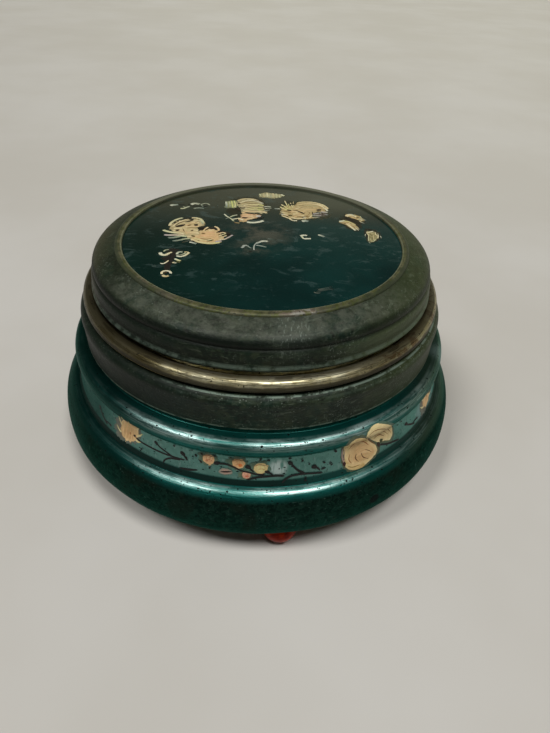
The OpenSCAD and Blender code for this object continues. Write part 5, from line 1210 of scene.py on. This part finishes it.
    # two crescents at the right, with a dark line between them
    p.begin()
    p.dab([(25.6, 15.4), (25.4, 13.4), (26.9, 11.1), (28.5, 7.8), (30.5, 7.2), (31.9, 8), (32.5, 10),
           (33.2, 12.8), (34.4, 13), (34.9, 15.8), (34.5, 17.4), (32.5, 19.8), (30.2, 21.3), (28, 20.7),
           (26.8, 18.4)], (44, 34, 14), (30, 38, 26))
    p.dab([(27.6, 19), (28.8, 20.8), (31, 20.8), (33.4, 18.8), (34.6, 15.8), (33.4, 14.4), (32.2, 15.8),
           (30.2, 17.4)], (194, 174, 122), (140, 124, 82))
    p.dab([(25.5, 14.2), (26.8, 15.3), (29, 14.4), (31, 11.6), (31.8, 9), (30.6, 7.4), (28.9, 9), (27.6, 11.6),
           (26, 13)], (198, 176, 126), (140, 126, 86))
    p.strokes("even",
        (1.62, "cream", (28.3, 18.5), (29.5, 19.9), (30.7, 19.4), (32, 18.4)),
        (0.69, "pale grey", (29, 20.1), (30.3, 20.6), (31.7, 19.4)),
        (0.85, "peach tan", (30, 17.8), (31.3, 17.2), (32.6, 16)),
        (0.98, "grey cream", (32.3, 16.8), (33.1, 16.4), (33.8, 15.6)),
        (0.32, "green grey", (33.3, 19.4), (33.6, 17.4), (33.7, 15.4)),
        (0.43, "grey mist", (34, 17), (34.5, 16.3), (35, 15.8)),
        (0.48, "cream mist", (32.6, 15), (33.3, 14), (34.2, 13.3)),
        (1.21, "pale green", (25.6, 14.1), (26.6, 14.6), (27.7, 15.1)),
        (0.86, "yellow tan", (27.1, 14.7), (28.4, 14.5), (29.7, 13.3), (31, 11.5)),
        (0.62, "cream pale", (27.6, 12.7), (28.6, 11.2), (29.5, 9.3), (30.5, 7.2)),
        (0.62, "cream tan", (28.5, 13.2), (29.4, 12.5), (30.7, 11)),
        (0.35, "pale", (30.4, 9.9), (31, 8.7), (31.4, 7.5)),
        (0.23, "cream mist", (31.3, 9.9), (31.6, 9.1), (31.8, 8.3)))
    p.strokes("leaf",
        (0.76, "dark", (27.7, 17.8), (29.8, 15.8), (31.3, 14), (32.7, 12.7)),
        (0.49, "dark brown", (31.7, 17.2), (32.3, 17.9), (32.9, 18.2)),
        (0.46, "moss brown", (30.2, 13.8), (30.8, 13), (31.1, 12.2)),
        (0.71, "dark", (31.6, 11.6), (31.7, 10.5), (31.9, 9.7)),
        (0.4, "brown ochre", (26.9, 12.6), (27.4, 12.9), (27.8, 12.3)),
        (0.3, "ochre", (29.3, 11.1), (30, 10.5), (30.5, 9.4)),
        (0.27, "ochre", (30.2, 19.1), (31, 18.8), (31.5, 17.4)),
        (0.26, "ochre", (28, 14), (29.1, 13.1), (29.8, 11.8)))
    # daisy at the right
    p.begin()
    p.dab([(32.8, 5.1), (32.9, 2.2), (33, -0.7), (34.2, -1.7), (36.3, -0.1), (37.9, 1.8), (38.6, 4.1),
           (38.3, 6.3), (37.3, 8.5), (35.4, 9.1), (33.4, 9.3)], (30, 28, 18), (30, 38, 28))
    p.dab([(33.9, 3.3), (33.5, 0), (34.3, -0.8), (35.9, 0.2), (37.2, 2.5), (37.7, 5.5), (36.9, 7.3),
           (35.5, 7.6), (33.8, 7.1)], (150, 140, 98), (140, 136, 100))
    p.strokes("even",
        (0.74, "cream pale", (33.7, 6.6), (34.3, 6.3), (35.2, 6.8), (36.2, 7.4)),
        (0.39, "cream green", (33.7, 6.2), (34.2, 4.4), (33.9, 2.2), (33.6, 0)),
        (0.43, "cream", (36.8, 6.9), (36.7, 4.7), (37.3, 3.9), (36.8, 2)),
        (0.43, "olive tan", (35.3, 6.6), (35.6, 5.6), (36.3, 5.3)),
        (0.23, "cream tan", (35.7, 4.5), (35.6, 2.4), (35.4, 0.5)),
        (0.39, "green", (36.1, 1.6), (35.4, 0.1), (34.3, -0.7)),
        (0.23, "pale cream", (37.5, 5.4), (37.4, 3.9), (37, 2)),
        (0.26, "pale grey", (33.4, 5.1), (33.1, 4.3), (33.1, 3.2)),
        (0.34, "pale mist", (38, 4), (38.1, 3.2), (38, 2.1)),
        (0.26, "green mist", (33.6, -0.4), (33.8, -1.1), (34, -1.8)),
        (0.25, "green tan", (34.5, 1.9), (34.5, 0.8), (34.6, -0.2)))
    p.strokes("leaf",
        (0.63, "dark", (33.6, 9), (34.6, 8.7), (36, 8.5)),
        (0.48, "dark", (36.8, 6.5), (37.1, 5.7), (37.3, 5)),
        (0.13, "dark", (33.8, 5.2), (33.7, 2.9), (33.6, 1.4)),
        (0.26, "moss", (34.8, 5.2), (35.1, 4.5), (35.5, 3.8)),
        (0.16, "moss", (34.9, 3.4), (35.1, 2.3), (35, 0.8)),
        (0.2, "dark", (37.4, 3.5), (37.5, 2.4), (37.2, 1.3)),
        (0.14, "moss ochre", (34.4, 3.7), (34.4, 3), (34.4, 1.9)))
    # buds on a dark twig at the front left
    p.begin()
    p.dab([(-28.4, -10), (-26.2, -9.2), (-25.3, -12), (-25.7, -16), (-26.2, -20), (-26.3, -23.2),
           (-27.9, -23.2), (-28.2, -18.6), (-29.4, -16.4), (-28, -14)], (20, 11, 7), (12, 14, 10))
    p.strokes("even",
        (0.76, "twig", (-27.6, -10.5), (-27.3, -14.1), (-27.1, -18.4), (-26.9, -23.3)),
        (0.72, "twig", (-30, -16.5), (-28.5, -15.8), (-27.1, -15)),
        (0.41, "twig", (-26.3, -10.4), (-26.3, -13.7), (-26.8, -17.1)),
        (0.36, "twig", (-27.1, -9.8), (-24.9, -10.7), (-23.5, -10.9)),
        (0.51, "moss", (-25.2, -17.8), (-24.4, -18.3), (-23.8, -18.5)),
        (1.08, "pale cream", (-30.6, -12.5), (-30.1, -13.8), (-29, -14.2), (-28, -13.3), (-27.1, -12)),
        (0.51, "green grey", (-29.7, -12), (-29.2, -11), (-28.2, -10.5)),
        (0.84, "pale grey", (-25.6, -13.7), (-25.4, -12.4), (-24.6, -11.8), (-23.9, -12.2)),
        (0.76, "pale cream", (-25.6, -14.3), (-24.4, -14.8), (-23.3, -14.2), (-22.5, -13.1), (-22, -11.7)),
        (0.53, "grey green", (-25.1, -13.6), (-24, -13.5), (-22.9, -12.2)),
        (0.45, "tan", (-23.6, -11.9), (-23, -11.7), (-22.2, -11.9)),
        (0.6, "pale cream", (-29.5, -19.2), (-28.7, -19.5), (-28, -18.8), (-27.3, -17.4)),
        (0.74, "pale yellow", (-25.8, -16.3), (-25.2, -16.7), (-23.8, -17.6)),
        (0.76, "cream grey", (-26.1, -18.9), (-25.6, -18.5), (-24.9, -19.1)),
        (0.69, "cream pale", (-28.1, -25.7), (-28.2, -24.4), (-27.6, -23.7), (-26.6, -23.6), (-25.8, -24.3),
         (-25.6, -25.5)),
        (0.92, "cream tan", (-27.8, -26.1), (-27, -26.7), (-25.9, -26.3)))
    p.strokes("leaf",
        (0.56, "dark", (-29.1, -12.3), (-28.4, -11.8), (-27.6, -11.5)),
        (0.46, "ochre brown", (-27.6, -25), (-27.1, -24.7), (-26.5, -24.8)),
        (0.11, "dark", (-26.5, -24), (-26.2, -24.6), (-26.2, -25.4)),
        (0.25, "moss dark", (-25.2, -13.3), (-24.2, -13.9), (-23.4, -13.4)))
    p.spot(-30.9, -21.2, 0.7, 0.6, (44, 64, 60))
    # pale leaves at the back left
    p.begin()
    p.strokes("even",
        (1.39, "pale mist", (-32.5, 22.2), (-31.8, 23.1), (-30.9, 23.2), (-29.9, 23.7)),
        (0.85, "green grey", (-28.9, 20.3), (-27.8, 20.4), (-27, 21.4), (-25.9, 22.4)),
        (0.3, "grey green", (-28.2, 22.4), (-27.5, 21.5), (-26.9, 20.6)),
        (1.36, "pale grey", (-25.6, 23.9), (-24.7, 25), (-23.6, 25), (-22.5, 24.4)),
        (0.67, "grey", (-22.3, 24.1), (-21.2, 25.3), (-20, 25.4), (-18.9, 23.9)),
        (0.31, "grey mist", (-22.1, 24.1), (-21.5, 23), (-21.1, 22.5)),
        (0.72, "grey mist", (-24.4, 20.5), (-23.2, 21.3), (-21.8, 21.3), (-20.6, 20.9)))
    p.strokes("leaf",
        (0.79, "deep dark", (-30, 23.6), (-29, 23.4), (-27.6, 23.6)),
        (0.71, "dark deep", (-26.7, 24.1), (-26.1, 23.9), (-25.6, 24.2)),
        (0.7, "dark deep", (-25.1, 22.6), (-23.4, 22.9), (-21.6, 22.8)),
        (0.84, "dark deep", (-21.1, 22.8), (-20.3, 22.9), (-19.6, 23.5)))
    p.stroke([(-16.4, 25.4), (-16.3, 24), (-16.4, 22.4)], 0.35, (62, 72, 64))
    # scratched marks in the middle and small pale dashes
    p.begin()
    p.strokes("even",
        (0.87, "scratch", (-6.7, -7.8), (-6.1, -7.1), (-5.9, -6.1), (-4.8, -6)),
        (0.44, "scratch mist", (-4.8, -6.1), (-4.1, -7.2), (-3.4, -7.9)),
        (0.46, "scratch", (-2.7, -9.1), (-2.8, -7.1), (-2.5, -5.1), (-1.7, -3.9)),
        (0.88, "scratch pale", (-2.4, -4.4), (-1.1, -3.5), (-0.2, -2.5), (1.7, -2.8)),
        (0.89, "pale scratch", (-0.7, -3), (0.2, -2.7), (1, -2.7)),
        (0.65, "scratch mist", (-2.2, -5.6), (-0.8, -5.9), (1.2, -6.8)),
        (0.44, "mist deep", (1.3, -0.8), (2.7, -1), (4.3, -1.8)),
        (0.97, "pale", (11.8, 1.8), (13, 2.6), (14.2, 2.4)),
        (0.59, "green pale", (12.3, 1.6), (12.7, 0.5), (13.2, -0.1)),
        (0.86, "pale", (12.9, 0), (14.1, 0.2), (15.3, 0.3)),
        (0.89, "pale mist", (17.7, 3.4), (18.8, 2.7), (19.7, 1.8)))
    p.strokes("leaf",
        (0.62, "dark deep", (14.3, 1.7), (14.8, 1.5), (15.4, 1.8)),
        (0.65, "dark deep", (-4.3, -9.8), (-3.7, -10), (-3.2, -9.8)))
    p.fan([(14.2, -31), (17, -30.6), (20.2, -29.4)], [(14.6, -32.4), (17.4, -32), (20.2, -30.8)], 5, 0.5,
           (58, 70, 62), (28, 50, 46), wobble=0.35, ragged=0.3)
    p.stroke([(14.2, -32.6), (15, -33.1), (16.2, -32.8)], 0.45, (124, 126, 114), (44, 60, 54))
    p.stroke([(15.4, -31.4), (16.2, -31), (17.4, -31.2)], 0.35, (98, 104, 94), (40, 58, 52))
    return p


def bandSpray(p):
    k = tints["black"]

    def twig(width, *path, shape="even"):
        p.stroke(path, width, k, None, shape)

    def bud(x, z, wide, tall, lean):
        p.spot(x, z, wide, tall, k, lean=lean)

    # left bloom: a peach heart, cream rays and a dull pink shade behind it
    p.begin()
    p.dab([(-43, 30.6), (-41.6, 27.6), (-38, 27.6), (-34.6, 29.2), (-32.8, 32), (-32.8, 35.6), (-36, 37.6),
           (-40, 37), (-42.4, 34)], (128, 112, 94), (92, 106, 98))
    p.dab([(-40.8, 31), (-39.4, 28.8), (-36.6, 28.4), (-34.4, 30), (-33.4, 33), (-34.2, 35.6), (-37, 36.4),
           (-39.8, 35)], (218, 176, 126), (226, 196, 144))
    p.fan([(-39.6, 29.2), (-40, 32), (-39, 35.4)], [(-34.8, 30), (-34, 33), (-34.6, 35.8)], 6, 1.0,
          (214, 172, 120), (226, 200, 146), 0.12, streak=8)
    p.gaps([(-38.6, 29.2), (-39, 32), (-38.4, 35)], [(-35, 30), (-34.4, 33), (-35, 35.4)], 2, 0.2,
           (176, 130, 86))
    p.rows("tail", tints["cream"], tints["yellow"],
           (0.85, (-40, 30), (-41.2, 30.4), (-42.4, 31.4)), (0.85, (-40, 32.4), (-41.2, 33.6), (-42, 35)),
           (0.85, (-39.4, 34), (-40.2, 35.6), (-40.6, 36.8)), (0.85, (-37.8, 35), (-38, 36.6), (-38, 38.2)),
           (0.85, (-35.8, 35), (-35.6, 36.6), (-35.4, 38)), (0.85, (-34.4, 34), (-33.4, 35.6), (-32.8, 37.4)),
           (0.85, (-34.2, 32), (-33, 32.8), (-32.2, 33.8)), (0.85, (-34.6, 30.6), (-33.4, 30.4), (-32.6, 30.8)))
    p.spot(-36.6, 31.6, 0.4, 0.5, (166, 118, 78))
    # branch with buds
    twig(0.52, (-35.2, 31.7), (-33, 31), (-30, 30.8), (-25, 30.7), (-18, 30.9))
    p.spot(-35, 31.7, 0.55, 0.45, (40, 26, 14))
    twig(0.48, (-27.7, 33.1), (-26.4, 32.2), (-25, 31.7), (-22, 30.6))
    bud(-27.6, 33, 0.8, 0.5, -30)
    bud(-19.6, 32.8, 0.95, 0.62, -30)
    bud(-18.6, 31.8, 0.5, 0.4, -30)
    twig(0.5, (-19.4, 32.4), (-18.6, 31.6), (-18, 31))
    twig(0.52, (-20, 30.6), (-23, 30), (-24.5, 28.9), (-25, 27.6))
    twig(0.7, (-20.4, 28), (-17.6, 28.3), (-15, 28.9), shape="leaf")
    # blossoms, each a flat peach blot with a paler side and a grey-green fringe
    for x, z, size, colour, other in (
            (-12.4, 33.1, 1.9, (206, 156, 116), tints["peach"]),
            (-4.6, 33, 1.95, (210, 160, 112), tints["peach"]),
            (1.1, 31.8, 2.0, tints["yellow"], (206, 176, 124)),
            (-2.5, 29.5, 1.35, (206, 148, 122), tints["pink"])):
        p.spot(x - 0.3, z + 0.1, size * 1.12 + 0.75, size + 0.3, (84, 92, 66), (78, 112, 98), wobble=0.22)
        p.spot(x, z, size * 1.12, size, colour, other, wobble=0.12)
        p.fan([(x - size * 0.6, z + 0.9), (x - size * 0.5, z + 0.2), (x - 0.5, z - 0.7)],
              [(x + size * 0.4, z + 1), (x + size * 0.4, z + 0.2), (x + 0.3, z - 0.7)], 3, 0.6,
              [v + 8 for v in other], colour, 0.12)
        p.stroke([(x - size * 0.9, z + 0.6), (x - size * 0.2, z + 1.2), (x + size * 0.7, z + 0.9)], 0.3,
                 (150, 84, 50), (110, 70, 40), streak=6)
        p.stroke([(x - size * 0.4, z - 0.4), (x + 0.2, z - 0.1), (x + size * 0.6, z - 0.5)], 0.26,
                 (160, 100, 62), streak=6)
    p.spot(-4.1, 32.5, 0.6, 0.45, (206, 120, 62))
    p.spot(-2.4, 29.2, 0.5, 0.35, (194, 104, 78))
    p.spot(-12.9, 32.6, 0.4, 0.35, (186, 128, 92))
    p.spot(-7.8, 30, 1.9, 1.0, (186, 146, 132), (118, 128, 116), wobble=0.2)
    # twigs, buds and small dark leaves among and after the blossoms
    p.rows("leaf", k, None, (0.75, (-9.2, 29.8), (-7.8, 30), (-6.2, 30.3)),
           (0.56, (-11.4, 34.9), (-11, 34.6), (-10.4, 34.5)),
           (0.56, (-14.9, 32.2), (-14.5, 31.9), (-14.1, 31.5)),
           (0.56, (-16.2, 33.7), (-15.9, 33.4), (-15.6, 33)),
           (0.56, (-14.6, 34.6), (-14.3, 34.3), (-13.9, 34.3)))
    bud(-10.2, 32.3, 1.0, 0.6, 10)
    twig(0.56, (-10.2, 32.2), (-8, 32.4), (-6, 31.9), (-4, 30.9), (-2, 30.5), (0.4, 29.9), (2.8, 30))
    bud(-2.2, 32.2, 0.85, 0.6, -20)
    twig(0.48, (-2, 31.9), (-1.2, 31.2), (-0.6, 30.6), shape="leaf")
    twig(0.62, (-2.6, 28.1), (0, 28.9), (2, 29.2), (5, 29.4), (7.6, 29.2))
    bud(2.8, 30.7, 0.8, 0.55, -20)
    twig(0.48, (2.8, 30.5), (3.6, 30.2), (4.2, 29.7), shape="leaf")
    twig(0.56, (6.4, 26.9), (7.4, 28.1), (9, 29), (11, 29.2), (13, 29.1), (17.6, 28.5))
    bud(8.7, 33.1, 0.8, 0.6, -40)
    twig(0.6, (8.8, 32.9), (9.6, 31.8), (10.8, 30.4), (12.6, 29.3))
    bud(15, 30.9, 0.9, 0.6, -10)
    twig(0.54, (15.2, 30.8), (16, 30.2), (16.6, 29.4), shape="leaf")
    twig(0.5, (16.8, 29.6), (17.4, 29.8), (18.2, 29.9), shape="leaf")
    # loose specks between the sprays
    for x, z in ((12.6, 27.9), (8.5, 35), (1, 35.1), (3, 34.4), (20.8, 34.8), (19.5, 31), (-17, 35),
                 (-22, 34.6), (-29, 35.2), (17.7, 31.7), (-6.6, 34.9), (21, 34.4), (19.8, 30.5), (0.9, 34.7),
                 (8.4, 34.8), (12.6, 27.2), (-32, 29), (-26, 35), (44, 34), (-12, 30.6), (11.8, 33.6),
                 (13.6, 32.2)):
        bud(x, z, p.draw.uniform(0.3, 0.52), p.draw.uniform(0.2, 0.36), p.draw.uniform(-30, 30))
    # double bloom: a round heart with nested petals and a second whorl behind it, both over the bead
    p.begin(brush["beadLift"])
    p.dab([(28, 37.6), (28.8, 39.9), (31.2, 40.5), (33.8, 40.5), (36.2, 39.7), (39.4, 36.8), (41.2, 32.5),
           (40.8, 30.3), (39.9, 28.6), (37, 29.8), (33, 31)], (112, 106, 66), (70, 100, 88), 0.03)
    p.dab([(22.9, 28.4), (22.5, 31.2), (22.6, 35), (23.2, 38.8), (25.4, 39.8), (28.6, 38.9), (31, 36.2),
           (34.8, 31.4), (35, 28.4), (31, 26.2), (28.6, 25.6), (26.4, 25.6), (24.6, 26.4)],
          (124, 92, 54), (74, 92, 74), 0.03)
    p.dab([(28.8, 37.6), (29.5, 39.4), (31.3, 40.1), (33.7, 40.1), (35.8, 39.2), (38.7, 36.3), (40.5, 32.5),
           (40.2, 30.8), (39.2, 30), (37.4, 30.9), (34.9, 31.5), (32.4, 33.6)],
          (214, 186, 134), (232, 216, 164), 0.02)
    p.rows("even", (224, 208, 156), (212, 188, 138),
           (1.3, (29, 37.6), (30, 39.4), (33, 39.8), (36.6, 37.9), (39.4, 34.6), (40, 31.6)),
           (1.0, (30.6, 36), (32, 38), (35, 37.4), (37.8, 34.8), (39, 32.2)),
           (1.0, (32, 34.4), (34, 35.6), (36.6, 33.9), (38, 32)),
           (0.8, (33.4, 32.9), (35, 33.1), (36.8, 31.9)), streak=8, lanes=8)
    p.rows("leaf", (116, 80, 38), (134, 94, 48),
           (0.42, (29.5, 38.2), (31.3, 39.1), (34, 38.5), (37, 36.1), (39.1, 33.5), (40, 31.7)),
           (0.36, (31.4, 35.2), (33.2, 36.6), (36.4, 34.9), (38.7, 32.4)),
           (0.36, (30.7, 34), (29.8, 36.4), (30.4, 38)), (0.32, (33, 33.7), (35, 34.2), (37.2, 32.6)), streak=6)
    p.spot(35.9, 31.9, 0.9, 0.8, (52, 64, 30), wobble=0.2)
    p.spot(34.8, 31, 0.6, 1.1, tints["brown"], lean=20)
    p.dab([(23.7, 29), (23.4, 31.1), (23.4, 34.7), (24, 37.8), (25.6, 38.8), (28.3, 38), (30.2, 35.9),
           (31.6, 33.8), (33.9, 31.2), (34.1, 28.8), (32.7, 27.8), (30.7, 26.9), (28.9, 26.2), (26.8, 26.2),
           (25.2, 27)], (216, 182, 130), (230, 206, 154), 0.02)
    p.rows("even", (224, 204, 148), (208, 176, 116),
           (1.2, (23.8, 34), (24.4, 37.2), (26.4, 38.2), (29, 36.6), (31, 34.2)),
           (1.0, (24.4, 32.6), (25.8, 35.4), (28.4, 35.8), (31.2, 33.4)),
           (1.4, (24, 29), (25.4, 27.5), (27.6, 26.8), (30, 27.1)),
           (0.9, (24, 31.6), (24, 30), (24.8, 28.8)), streak=8, lanes=8)
    p.dab([(25.8, 30), (26.6, 32.8), (28.8, 34), (31.2, 33), (33.2, 30.6), (33.4, 29), (32, 27.9), (30, 27.9),
           (27.8, 28.2), (26.2, 28.8)], (214, 174, 124), (222, 186, 134), 0.03)
    p.fan([(26.8, 32.2), (29.4, 33.2), (32.6, 30.8)], [(27, 29), (29.6, 28.8), (32.8, 28.7)], 5, 0.95,
          (220, 184, 132), (228, 198, 146), 0.12, streak=8)
    for width, tint, *path in (
            (0.42, (150, 86, 38), (24.6, 33.4), (26.6, 35), (29.1, 34.8), (31.6, 32.2)),
            (0.34, (140, 100, 50), (24.2, 35.4), (25.6, 37.2), (28, 36.6)),
            (0.44, (104, 68, 32), (27.3, 31.4), (26.9, 30), (27.9, 28.4)),
            (0.44, (104, 68, 32), (28.7, 31.2), (29.4, 29.3), (31.2, 28)),
            (0.34, (156, 96, 46), (25.2, 32), (24.9, 30.2), (25.7, 28.7)),
            (0.32, (136, 98, 54), (29.9, 31.6), (31, 30.9), (32.4, 29.6)),
            (0.32, (140, 106, 48), (24.4, 28.3), (26, 27.4), (28.4, 27.3)),
            (0.36, (110, 74, 36), (30.6, 35.6), (31.6, 33.9), (33.6, 31.6))):
        p.stroke(path, width, tint, streak=6)
    p.fan([(23.4, 29.6), (22.9, 32), (23, 35)], [(24, 29.8), (23.6, 31.6), (23.7, 34.4)], 2, 0.4,
          (186, 150, 140), (150, 140, 136), 0.08)
    p.spot(23.5, 29.4, 0.5, 0.8, (50, 20, 20), lean=15)
    twig(0.6, (35.2, 30.8), (38.1, 29.5), (43.2, 28.2))
    # last buds before the next spray
    bud(46.8, 31.3, 0.8, 0.6, -20)
    twig(0.56, (46.8, 31.2), (48, 30.3), (49.6, 29.4), (51.6, 28.6))
    p.spot(53, 29.3, 0.6, 0.4, (40, 50, 48))
    twig(0.44, (50.4, 29.1), (51.6, 29.4), (53, 29.3), shape="leaf")


def bandFlowers():
    # the spray comes again every 98 degrees; of the last one only its branch and end buds have room
    p = Paint("bandFlowers", "case", onBand, 1.08, 23)
    for shift, limits in ((0, None), (98, None), (196, None), (-98, ((-106, -79), (-54, -43)))):
        p.shift, p.limits = shift, limits
        bandSpray(p)
    return p


paint = flowerPaint()
discFlowers().finish(paint)
bandFlowers().finish(paint)
print("flowers painted")


# finishes of the pieces that keep their CAD shape
plain = [
    (brass, "winding_key great_wheel tune_cylinder cylinder_pinion cylinder_wheel left_bracket right_bracket "
            "first_wheel worm_wheel governor_plate worm_cock stop_bracket rod_bush spring_housing"),
    (steel, "base_screws foot_studs foot_nuts movement_screws housing_screws winding_arbor cylinder_arbor "
            "comb_screws bracket_screws first_pinion second_pinion worm governor_screws cock_screw "
            "stop_screws lever_pin rod_collar"),
    (bright, "comb stop_lever stop_rod"),
    (blued, "mainspring clutch_spring rod_spring"),
    (tinPlate, "base_plate"),
    (aluminium, "fly"),
    (castIron(), "bedplate"),
    (redFelt(), "brake_pad"),
    (plainCard(), "mirror_card"),
]


def dressNodes():
    for finish, names in plain:
        for name in names.split():
            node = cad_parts[name]
            node.data.materials.clear()
            node.data.materials.append(finish)


dressNodes()
print("movement dressed")
